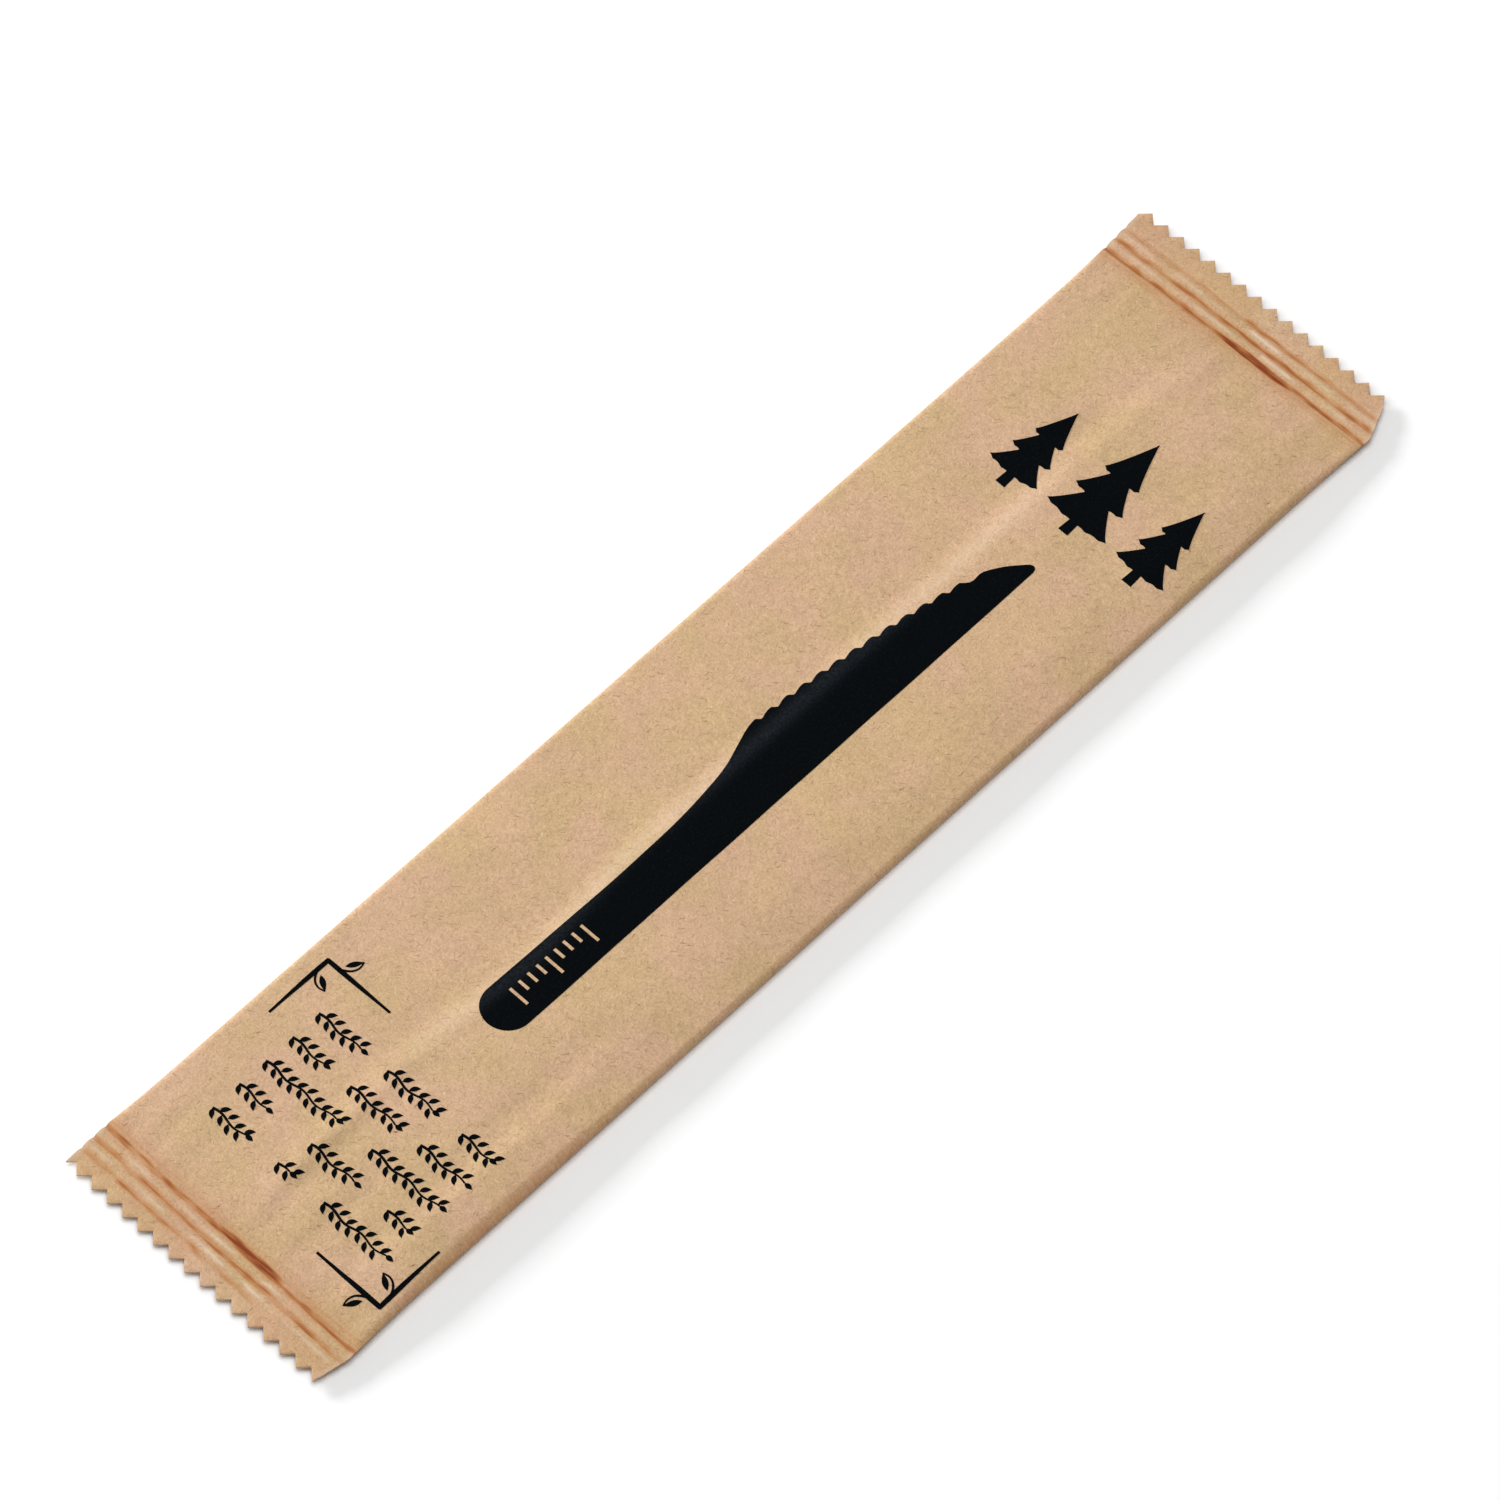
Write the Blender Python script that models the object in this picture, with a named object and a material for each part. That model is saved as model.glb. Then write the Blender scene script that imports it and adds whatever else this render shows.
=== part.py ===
"""A sealed flat pack of brown kraft paper with a wooden knife inside, lying on its back seam.

Metres, +Z up. +X runs along the pack and +Y across it. The origin is on the ground under the
middle of the pack. A pack like this is one folded and sealed sheet that can't be seen into, so it
is one solid: a loft of rings of points, each ring a cut across the pack. A ring's top row runs
from the fold at +Y to the fold at -Y, and its bottom row lies under it in the same order.
"""
import bmesh
import bpy
import numpy as np
from mathutils import Vector

# Body
PACK_LENGTH = 0.2004        # over the tips of the teeth
BODY_WIDTH = 0.0447         # from fold to fold between the seals
PAPER_PAIR = 0.00030        # two layers of paper pressed together in a seal
SEAL_HEIGHT = 0.00125       # from the ground to the middle of the flat seals
FOLD_RADIUS = 0.00095       # of the folds along both long edges
PANEL_RISE = 0.00060        # front panel over the seals' upper face, at the folds
PANEL_CROWN = 0.00020       # extra rise along the middle of the front panel
BODY_RAMP = 0.014           # over which the body swells from a seal to its full height

# The loose left end, where the near fold is puffed up
PUFF_PLACE = -0.070
PUFF_LENGTH = 0.030
PUFF_RADIUS = 0.00080
PUFF_RISE = 0.00030

# The knife, which shows through as a low step in the front panel
KNIFE_LENGTH = 0.165
KNIFE_WIDTH = 0.0205
KNIFE_EDGE = 0.0026         # place of its far edge under the paper
KNIFE_RISE = 0.00050
KNIFE_STEP = 0.0034         # width of the slope that the paper makes over its edges
KNIFE_WAIST = 0.0018        # how far the far edge draws in at the waist
WAIST_PLACE = -0.040
WAIST_LENGTH = 0.022

# Back seam: the sheet's edges sealed into a fin that is folded flat, and on which the pack lies
FIN_ROOT = 0.0013
FIN_WIDTH = 0.0105
FIN_THICKNESS = 0.00030
FIN_STEP = 0.00015          # width of the step at the fin's root and at its free edge
FIN_PRESSED = 0.4           # share of its thickness that is left where a seal crosses it
BACK_SAG = 0.0080           # over which the back panel comes down to the ground beside the fin

# Crimped ends
LEFT_SEAL = 0.00705         # from the first crease to the tips of the teeth
RIGHT_SEAL = 0.0082
LEFT_SKEW = 0.024           # the left creases lean this much for each metre across
CRIMP_PITCH = 0.00205
CRIMP_DEPTH = 0.00022
CREASES = 3
CREASE_SHARE = 0.25         # of the pitch, from a crease to the flat top of its rib
SEAL_FLARE = 0.00035        # how much wider the pressed film is than the swollen body, at each fold
SEAL_DROOP = 0.00030        # how far the outer edge of a seal hangs down
RIGHT_SPREAD = 0.00060      # far corner of the right end, outwards
RIGHT_TAPER = 0.0030        # near corner of the right end, inwards
LEFT_TAPER = 0.0012
TAPER_START = 0.15          # share of the seal's length where the tapers start

# Zigzag cut
TEETH = 16
TOOTH_DEPTH = 0.00135
TOOTH_BOW = 0.00030         # the row of teeth is this much further out in its middle
TOOTH_ROOT = 0.00030        # uncut film inside the valleys
RIGHT_CUT_FAR, RIGHT_CUT_NEAR = 0.0, 0.8    # half teeth lost at the corners
LEFT_CUT_FAR, LEFT_CUT_NEAR = 0.28, 0.0

# Print: the outline of a table knife
PRINT_START = -0.04935
PRINT_LENGTH = 0.0976
PRINT_WIDTH = 0.0108        # from the spine to the highest point of the edge
PRINT_SPINE = -0.00605
PRINT_ROUND = 0.00365       # radius of the handle's end
PRINT_TIP = 0.0002          # blunt width of the point
PRINT_BLUNT = 0.2           # share of the handle's width that its round end starts with
SAW_TEETH = 12
SAW_DEPTH = 0.0005
SAW_NOTCH = 0.08            # share of a saw tooth, on each side of its notch
SAW_START, SAW_END = 0.572, 0.911           # shares of the print's length
SAW_FALL, SAW_BULGE = 0.24, 0.22            # fall of the toothed edge, in shares of its width
# Shares of the length and of the width, from the handle to the start of the saw teeth and beyond them
HANDLE_LINE = ((0.04, 0.682), (0.12, 0.671), (0.31, 0.646), (0.375, 0.657), (0.436, 0.704),
               (0.498, 0.796), (0.529, 0.894), (0.56, 0.985), (SAW_START, 1.0))
POINT_LINE = ((SAW_END, 0.46), (0.944, 0.444), (0.96, 0.366), (0.974, 0.281), (0.985, 0.194), (0.995, 0.111))

# Print round it: two angle lines with leaves, rows of short bars between them, three fir trees, and
# a scale of ticks on the knife's handle
MARK_LINE = 0.00045         # width of the thin printed lines
BRACKET_LEG = 0.0105
FAR_BRACKET = (-0.0566, 0.0189)             # corners of the two angle lines round the bars
NEAR_BRACKET = (-0.0871, -0.0209)
LEAF_ROOT = (0.0022, 0.0009)                # of the leaf beside each leg: along the leg and out from it
LEAF_TIP = (0.0035, 0.0030)
LEAF_WIDTH = 0.00072
LEAF_SHOULDERS = (0.3, 0.65)                # shares of a leaf's length, between which it keeps its width
BAR_WIDTH = 0.0011
BAR_PITCH = 0.0047
BAR_START = (-0.0635, 0.0142)
BAR_ROWS = (((0.0, 0.0088), (0.0122, 0.0095), (0.0254, 0.0063)),    # start and length of each bar
            ((0.0, 0.0068), (0.0103, 0.0095), (0.0228, 0.0092)),
            ((0.0, 0.0138), (0.0188, 0.0132)),
            ((0.0, 0.0062), (0.0128, 0.0090), (0.0263, 0.0049)),
            ((0.0, 0.0071), (0.0116, 0.0034), (0.0198, 0.0122)))
TREE_BASE = 0.0545
TREE_MIDDLE = -0.0045
TREE_PITCH = 0.0112
TREE_HEIGHTS = (0.0150, 0.0185, 0.0150)
TREE_SLIMNESS = 0.56        # width of a tree over its height
TIER_WIDTHS = (1.0, 0.80, 0.58)
TIER_RISE, TIER_HEIGHT = 0.27, 0.46         # shares of the crown
TRUNK_WIDTH, TRUNK_HEIGHT = 0.0013, 0.0024
TICKS = 9
TICK_PITCH = 0.0016
TICK_START = -0.0440
LONG_TICK, SHORT_TICK = 0.0032, 0.0018      # every fourth one is long

# Facets
COLUMNS = 2 * TEETH         # intervals across the front, two for each tooth
PRINT_COLUMNS = (0.44, 0.56)                # shares of the columns, for the two outlines of the print
FIN_COLUMNS = (0.375, 0.4375, 0.625, 0.6875)    # shares of the back's columns, for the fin's two steps
FOLD_FACETS = 4
RAMP_RINGS = (0.12, 0.24, 0.4, 0.6, 0.8, 1.0)   # rings along a ramp, in shares of its length
SHARP_ANGLE = 40            # degrees, above which an edge stays sharp
HANDLE_STEPS = 5            # rings round the handle's end
PANEL_PITCH = 0.0075        # longest ring spacing along the plain body
CUT_MERGE = 0.00002         # points this near to a cut are moved on to it

KRAFT = (0.604, 0.413, 0.242, 1.0)
INK = (0.010, 0.012, 0.014, 1.0)
SCORCH = (0.330, 0.150, 0.060, 1.0)
PAPER_ROUGHNESS, INK_ROUGHNESS = 0.75, 0.55
PAPER_SLOT, INK_SLOT, SCORCH_SLOT = range(3)

BODY_SHIFT = RIGHT_SPREAD / 2       # sets the origin in the middle of the overall width
HALF_LENGTH = PACK_LENGTH / 2
LEFT_CREASE = -(HALF_LENGTH - LEFT_SEAL)
RIGHT_CREASE = HALF_LENGTH - RIGHT_SEAL


def smooth(t):
    """Smooth step from 0 to 1."""
    t = np.clip(t, 0.0, 1.0)
    return t * t * (3 - 2 * t)


def bump(x, place, length):
    """Bell of height 1 at place, which falls to nothing a length away on each side."""
    return smooth(1 - abs(x - place) / length)


def inward(s):
    """Distance from the nearer seal's first crease towards the middle, negative in the seal."""
    return np.minimum(s - LEFT_CREASE, RIGHT_CREASE - s)


def swell(s):
    """Share of the body's full height: 0 in the seals, 1 between the ramps, with a kink at the crease."""
    t = np.clip(inward(s) / BODY_RAMP, 0.0, 1.0)
    return 1 - (1 - t) ** 2


def outward(s):
    """Share of a seal's length outside its first crease."""
    seal = LEFT_SEAL if s < 0 else RIGHT_SEAL
    return np.clip(-inward(s) / seal, 0.0, 1.0)


def far_edge(s):
    """The fold at +Y, which spreads in the seals."""
    spread = RIGHT_SPREAD * outward(s) if s > 0 else 0.0
    return BODY_WIDTH / 2 - BODY_SHIFT + SEAL_FLARE * (1 - swell(s)) + spread


def near_edge(s):
    """The fold at -Y, which is drawn in towards the teeth."""
    taper = RIGHT_TAPER if s > 0 else LEFT_TAPER
    drawn = taper * np.clip((outward(s) - TAPER_START) / (1 - TAPER_START), 0.0, 1.0)
    return -BODY_WIDTH / 2 - BODY_SHIFT - SEAL_FLARE * (1 - swell(s)) + drawn


def tooth_rows(side):
    """Half-tooth columns across an end, from fold to fold, and the place of one tip."""
    far, near = far_edge(side * HALF_LENGTH), near_edge(side * HALF_LENGTH)
    cut_far, cut_near = (RIGHT_CUT_FAR, RIGHT_CUT_NEAR) if side > 0 else (LEFT_CUT_FAR, LEFT_CUT_NEAR)
    half = (far - near) / (COLUMNS - cut_far - cut_near)
    start = far + cut_far * half
    rows = start - half * np.arange(COLUMNS + 1)
    tip = start - half if side > 0 else start
    return np.clip(rows, near, far), half, tip


def tooth_line(side, y):
    """Zigzag end of the film: a triangle wave across the pack on a slightly bowed line."""
    _, half, tip = tooth_rows(side)
    wave = abs(((y - tip) / (2 * half) + 0.5) % 1 - 0.5) * 2
    line = HALF_LENGTH - TOOTH_BOW * (2 * y / BODY_WIDTH) ** 2
    return side * (line - TOOTH_DEPTH * wave)


def print_edge(x):
    """Upper outline of the printed knife: a round end, a handle line, saw teeth and a slanted point."""
    u = np.clip((x - PRINT_START) / PRINT_LENGTH, 0.0, 1.0)
    points = np.array(HANDLE_LINE + POINT_LINE + ((1.0, PRINT_TIP / PRINT_WIDTH),))
    height = np.interp(u, points[:, 0], points[:, 1]) * PRINT_WIDTH
    if SAW_START < u < SAW_END:
        t = (u - SAW_START) / (SAW_END - SAW_START)
        envelope = PRINT_WIDTH * (1 - SAW_FALL * t - SAW_BULGE * t * t)
        height = envelope - SAW_DEPTH * (1 - (t * SAW_TEETH) % 1)
    return PRINT_SPINE + height


def print_rows(x):
    """Both outlines of the printed knife at x; off its ends they stay level."""
    from_end = x - PRINT_START
    top, spine = print_edge(x), PRINT_SPINE
    if from_end < PRINT_ROUND:
        middle = (print_edge(PRINT_START + PRINT_ROUND) + PRINT_SPINE) / 2
        reach = np.clip(1 - from_end / PRINT_ROUND, 0.0, 1.0)
        share = max(np.sqrt(1 - reach ** 2), PRINT_BLUNT)
        top = middle + (print_edge(PRINT_START + PRINT_ROUND) - middle) * share
        spine = middle + (PRINT_SPINE - middle) * share
    return top, spine


def fold_radii(s):
    """Radii of the far and near folds; the near one is puffed up at the loose end."""
    return FOLD_RADIUS, FOLD_RADIUS + PUFF_RADIUS * bump(s, PUFF_PLACE, PUFF_LENGTH)


def column(share):
    """Number of the front column at a share of the way across."""
    return int(round(share * COLUMNS))


def front_rows(s):
    """Y of the front's columns: round folds, a column on each outline of the print, even steps between."""
    far, near = far_edge(s), near_edge(s)
    far_radius, near_radius = fold_radii(s)
    turn = 1 - np.cos(np.arange(FOLD_FACETS + 1) * np.pi / 2 / FOLD_FACETS)
    top, spine = print_rows(s)
    places = list(range(FOLD_FACETS + 1)) + [column(share) for share in PRINT_COLUMNS]
    places += [COLUMNS - FOLD_FACETS + k for k in range(FOLD_FACETS + 1)]
    values = list(far - far_radius * turn) + [top, spine] + list(near + near_radius * turn[::-1])
    return np.interp(np.arange(COLUMNS + 1), places, values)


def back_rows(s):
    """Y of the back's columns, half as many: folds, and a pair at each edge of the fin."""
    far, near = far_edge(s), near_edge(s)
    far_radius, near_radius = fold_radii(s)
    half = COLUMNS // 2
    free = FIN_ROOT - FIN_WIDTH
    places = [0, 1, 2] + [int(round(half * share)) for share in FIN_COLUMNS] + [half - 2, half - 1, half]
    turn = 1 - np.cos(np.array((0.0, 0.25, 0.5)) * np.pi)
    values = list(far - far_radius * turn)
    values += [FIN_ROOT + FIN_STEP, FIN_ROOT, free, free - FIN_STEP]
    values += list(near + near_radius * turn[::-1])
    return np.interp(np.arange(half + 1), places, values)


def fin(y):
    """Share of the fin's thickness: 1 on its face, 0 beside it."""
    free = FIN_ROOT - FIN_WIDTH
    return np.clip(np.minimum(FIN_ROOT - y, y - free) / FIN_STEP + 1, 0.0, 1.0)


def crimp(s):
    """Height of the pressed film over the flat seal: V-shaped creases between flat ribs."""
    out = -inward(s)
    if not -CREASE_SHARE * CRIMP_PITCH < out < (CREASES - 1 + CREASE_SHARE) * CRIMP_PITCH:
        return 0.0
    away = abs((out / CRIMP_PITCH + 0.5) % 1 - 0.5)
    return -CRIMP_DEPTH * (1 - min(away / CREASE_SHARE, 1.0))


def seal_middle(s):
    """Height of the film's middle in a seal."""
    return SEAL_HEIGHT + crimp(s) - SEAL_DROOP * outward(s) ** 2


def round_off(s, y):
    """Quarter-round factor at both folds: 0 on the fold line, 1 on the panels."""
    far_radius, near_radius = fold_radii(s)
    far_gap = np.clip((far_edge(s) - y) / far_radius, 0.0, 1.0)
    near_gap = np.clip((y - near_edge(s)) / near_radius, 0.0, 1.0)
    return np.sqrt(1 - (1 - far_gap) ** 2) * np.sqrt(1 - (1 - near_gap) ** 2)


def front_height(s, y):
    """Top of the pack: a crowned panel with the knife's step, swelling between the seals."""
    edge = KNIFE_EDGE - KNIFE_WAIST * bump(s, WAIST_PLACE, WAIST_LENGTH)
    over_far = smooth((edge + KNIFE_STEP / 2 - y) / KNIFE_STEP)
    over_near = smooth((y - (KNIFE_EDGE - KNIFE_WIDTH) + KNIFE_STEP / 2) / KNIFE_STEP)
    knife = KNIFE_RISE * over_far * over_near * smooth((KNIFE_LENGTH / 2 - abs(s)) / KNIFE_STEP + 0.5)
    crown = PANEL_CROWN * (1 - (2 * y / BODY_WIDTH) ** 2)
    puff = PUFF_RISE * bump(s, PUFF_PLACE, PUFF_LENGTH) * smooth(-2 * y / BODY_WIDTH)
    swollen = swell(s) * round_off(s, y) * (PANEL_RISE + crown + knife + puff)
    return seal_middle(s) + PAPER_PAIR / 2 + swollen


def back_height(s, y):
    """Underside: it swells down to the ground, where the fin's face and the sagging panel lie at zero."""
    free = FIN_ROOT - FIN_WIDTH
    beside = np.maximum(np.maximum(y - FIN_ROOT, free - y), 0.0)
    panel = FIN_THICKNESS * smooth(1 - beside / BACK_SAG)
    seal = seal_middle(s) - PAPER_PAIR / 2
    depth = swell(s) * round_off(s, y)
    height = seal + (panel - seal) * depth
    return height - fin(y) * FIN_THICKNESS * (FIN_PRESSED + (1 - FIN_PRESSED) * depth)


def ring(s):
    """One cut across the pack at station s: its front row and its back row, coarser between the seals."""
    side = 1 if s > 0 else -1
    teeth = tooth_rows(side)[0]
    settle = smooth(inward(s) / BODY_RAMP)
    front = (1 - settle) * teeth + settle * front_rows(s)
    front[0], front[-1] = far_edge(s), near_edge(s)
    back = front
    if inward(s) > CREASE_SHARE * CRIMP_PITCH / 2:
        back = (1 - settle) * teeth[::2] + settle * back_rows(s)
        back[0], back[-1] = front[0], front[-1]
    lean = LEFT_SKEW * smooth(1 - abs(s - LEFT_CREASE) / (2 * LEFT_SEAL)) if s < 0 else 0.0
    top = np.stack((s + lean * front, front, front_height(s, front)), axis=1)
    bottom = np.stack((s + lean * back, back, back_height(s, back)), axis=1)
    if abs(s) == HALF_LENGTH:
        top[:, 0] = bottom[:, 0] = tooth_line(side, front)
    return top, bottom


def stations():
    """Where the rings stand: teeth, creases, ramps, and the points that the print's outline needs."""
    places = [-HALF_LENGTH, HALF_LENGTH]
    for crease, side in ((LEFT_CREASE, -1), (RIGHT_CREASE, 1)):
        places.append(side * (HALF_LENGTH - TOOTH_DEPTH - TOOTH_BOW - TOOTH_ROOT))
        for k in range(CREASES):
            centre = crease + side * k * CRIMP_PITCH
            places += [centre + share * CRIMP_PITCH for share in (-CREASE_SHARE, 0.0, CREASE_SHARE)]
        places += [crease - side * BODY_RAMP * t for t in RAMP_RINGS]
    turn = np.arange(HANDLE_STEPS + 1) / HANDLE_STEPS * np.pi / 2
    places += list(PRINT_START + PRINT_ROUND * (1 - np.cos(turn)))
    places += [PRINT_START + PRINT_LENGTH * u for u, _ in HANDLE_LINE[1:] + POINT_LINE + ((1.0, 0.0),)]
    saw = PRINT_LENGTH * (SAW_END - SAW_START) / SAW_TEETH
    for k in range(1, SAW_TEETH + 1):
        tip = PRINT_START + PRINT_LENGTH * SAW_START + k * saw
        places += [tip - SAW_NOTCH * saw, tip + SAW_NOTCH * saw]
    places = np.unique(np.round(places, 6))
    places[0], places[-1] = -HALF_LENGTH, HALF_LENGTH
    for a, b in zip(places[:-1], places[1:]):
        extra = int((b - a) / PANEL_PITCH)
        places = np.append(places, a + (b - a) * np.arange(1, extra + 1) / (extra + 1))
    return np.unique(places)


def front_colour(s, k):
    """Material of the front facet beside column k at station s: ink on the knife, scorched creases."""
    first, last = (column(share) for share in PRINT_COLUMNS)
    if PRINT_START < s < PRINT_START + PRINT_LENGTH and first <= k < last:
        return INK_SLOT
    return SCORCH_SLOT if crimp(s) < -CRIMP_DEPTH / 4 else PAPER_SLOT


def rectangle(x, y, length, width):
    """Corners of an upright rectangle from its corner at (x, y): length along X, width along -Y."""
    return [(x, y), (x, y - width), (x + length, y - width), (x + length, y)]


def leaf(root, tip):
    """Six corners of a leaf: its root, two shoulders on one side, its tip, and two on the other."""
    root, tip = Vector(root), Vector(tip)
    reach = tip - root
    out = Vector((reach.y, -reach.x)).normalized() * LEAF_WIDTH / 2
    low, high = (root + reach * share for share in LEAF_SHOULDERS)
    return [tuple(point) for point in (root, low + out, high + out, tip, high - out, low - out)]


def bracket(corner, side):
    """Two thin bars at a corner, each with a leaf: side 1 opens towards -X and -Y, side -1 the other way."""
    x, y = corner
    leg, line = BRACKET_LEG, MARK_LINE
    along = rectangle(x - leg if side > 0 else x, y + line / 2, leg, line)
    across = rectangle(x - line / 2, y if side > 0 else y + leg, line, leg)
    leaves = []
    for leg_x, leg_y, out_x, out_y in ((-side, 0, 0, -side), (0, -side, side, 0)):
        ends = [(x + a * leg_x + b * out_x, y + a * leg_y + b * out_y) for a, b in (LEAF_ROOT, LEAF_TIP)]
        leaves.append(leaf(*ends))
    return [along, across] + leaves


def printed_bars():
    """Five rows of bars that run along -Y, each row further towards -X."""
    bars = []
    for row, line in enumerate(BAR_ROWS):
        for start, length in line:
            bars.append(rectangle(BAR_START[0] - row * BAR_PITCH, BAR_START[1] - start, BAR_WIDTH, length))
    return bars


def trees():
    """Three fir trees side by side with their tips towards +X, each of stacked triangles on a trunk."""
    shapes = []
    for k, height in enumerate(TREE_HEIGHTS):
        y = TREE_MIDDLE + (1 - k) * TREE_PITCH
        shapes.append(rectangle(TREE_BASE, y + TRUNK_WIDTH / 2, TRUNK_HEIGHT, TRUNK_WIDTH))
        crown = height - TRUNK_HEIGHT
        for tier, width in enumerate(TIER_WIDTHS):
            low = TREE_BASE + TRUNK_HEIGHT + crown * TIER_RISE * tier
            half = height * TREE_SLIMNESS * width / 2
            shapes.append([(low, y + half), (low, y - half), (low + crown * TIER_HEIGHT, y)])
    return shapes


def ticks():
    """Bare strips across the printed handle, like the edge of a ruler."""
    top = (PRINT_SPINE + print_edge(TICK_START) + LONG_TICK) / 2
    shapes = []
    for k in range(TICKS):
        length = SHORT_TICK if k % 4 else LONG_TICK
        shapes.append(rectangle(TICK_START + k * TICK_PITCH, top, MARK_LINE, length))
    return shapes


def print_patch(mesh, outline, slot):
    """Cuts a convex outline, seen from above, into the front's facets and gives its inside a material."""
    corners = [Vector((x, y, 0.0)) for x, y in outline]
    low = Vector((min(c.x for c in corners), min(c.y for c in corners)))
    high = Vector((max(c.x for c in corners), max(c.y for c in corners)))

    def touched(face):
        xs = [v.co.x for v in face.verts]
        ys = [v.co.y for v in face.verts]
        on_front = face.normal.z > 0.3 and face.calc_center_median().z > SEAL_HEIGHT
        return on_front and max(xs) > low.x and min(xs) < high.x and max(ys) > low.y and min(ys) < high.y

    upright = Vector((0.0, 0.0, 1.0))
    sides = [(a, (b - a).cross(upright).normalized()) for a, b in zip(corners, corners[1:] + corners[:1])]
    for point, normal in sides:
        faces = [face for face in mesh.faces if touched(face)]
        parts = faces + list({edge for face in faces for edge in face.edges})
        parts += list({vert for face in faces for vert in face.verts})
        bmesh.ops.bisect_plane(mesh, geom=parts, dist=CUT_MERGE, plane_co=point, plane_no=normal)
        mesh.normal_update()
    for face in mesh.faces:
        centre = face.calc_center_median()
        if touched(face) and all((centre - point).dot(normal) < 0 for point, normal in sides):
            face.material_index = slot


def back_facets(row, after):
    """Facets of the underside between two rows, one of which may have half as many points."""
    if len(row) == len(after):
        return [(row[k], after[k], after[k + 1], row[k + 1]) for k in range(len(row) - 1)]
    facets = []
    for k in range(min(len(row), len(after)) - 1):
        if len(row) > len(after):
            left, middle, right = row[2 * k:2 * k + 3]
            facets += [(left, after[k], middle), (middle, after[k], after[k + 1])]
            facets.append((middle, after[k + 1], right))
        else:
            left, middle, right = after[2 * k:2 * k + 3]
            facets += [(row[k], left, middle), (row[k], middle, row[k + 1])]
            facets.append((row[k + 1], middle, right))
    return facets


def loft():
    """Joins the rings with facets into one closed skin: its points, its facets and their materials."""
    points, fronts, backs = [], [], []
    places = stations()
    for s in places:
        top, bottom = ring(s)
        for rows, line in ((fronts, top), (backs, bottom)):
            rows.append(list(range(len(points), len(points) + len(line))))
            points.extend(tuple(point) for point in line)
    facets, slots = [], []
    for i in range(len(places) - 1):
        a, b, below_a, below_b = fronts[i], fronts[i + 1], backs[i], backs[i + 1]
        middle = (places[i] + places[i + 1]) / 2
        for k in range(COLUMNS):
            facets.append((a[k], a[k + 1], b[k + 1], b[k]))
            slots.append(front_colour(middle, k))
        plain = [(a[0], b[0], below_b[0], below_a[0]), (b[-1], a[-1], below_a[-1], below_b[-1])]
        plain += back_facets(below_a, below_b)
        facets += plain
        slots += [PAPER_SLOT] * len(plain)
    for k in range(COLUMNS):
        facets.append((fronts[0][k + 1], fronts[0][k], backs[0][k], backs[0][k + 1]))
        facets.append((fronts[-1][k], fronts[-1][k + 1], backs[-1][k + 1], backs[-1][k]))
        slots += [PAPER_SLOT, PAPER_SLOT]
    return points, facets, slots


def build_pack():
    """The pack: the lofted skin, with the print's outlines cut into its front."""
    points, facets, slots = loft()
    mesh = bpy.data.meshes.new("sealed_pack")
    mesh.from_pydata(points, [], facets)
    mesh.materials.append(plain_material("kraft_paper", KRAFT, PAPER_ROUGHNESS))
    mesh.materials.append(plain_material("black_ink", INK, INK_ROUGHNESS))
    mesh.materials.append(plain_material("scorched_crease", SCORCH, PAPER_ROUGHNESS))
    mesh.polygons.foreach_set("material_index", slots)
    cut = bmesh.new()
    cut.from_mesh(mesh)
    cut.normal_update()
    for outline in bracket(FAR_BRACKET, 1) + bracket(NEAR_BRACKET, -1) + printed_bars() + trees():
        print_patch(cut, outline, INK_SLOT)
    for outline in ticks():
        print_patch(cut, outline, PAPER_SLOT)
    cut.to_mesh(mesh)
    cut.free()
    mesh.shade_smooth()
    mesh.set_sharp_from_angle(angle=np.radians(SHARP_ANGLE))
    pack = bpy.data.objects.new("sealed_pack", mesh)
    bpy.context.scene.collection.objects.link(pack)
    return pack


def plain_material(name, colour, roughness):
    """A Principled material of one colour, with no metal in it."""
    material = bpy.data.materials.new(name)
    material.use_nodes = True
    shader = material.node_tree.nodes["Principled BSDF"]
    shader.inputs["Base Color"].default_value = colour
    shader.inputs["Roughness"].default_value = roughness
    shader.inputs["Metallic"].default_value = 0.0
    return material


for thing in list(bpy.data.objects):
    bpy.data.objects.remove(thing, do_unlink=True)
build_pack()
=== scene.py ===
"""A sealed pack of brown kraft paper with a wooden knife inside, in its finished look.

Metres, +Z up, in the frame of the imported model: +X runs along the pack and +Y across it. Each piece
is a skin worked out by formulas on a grid. The pack lies on its back seam on a pale studio floor.
"""

import bpy
import numpy as np
from mathutils import Matrix, Vector


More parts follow.
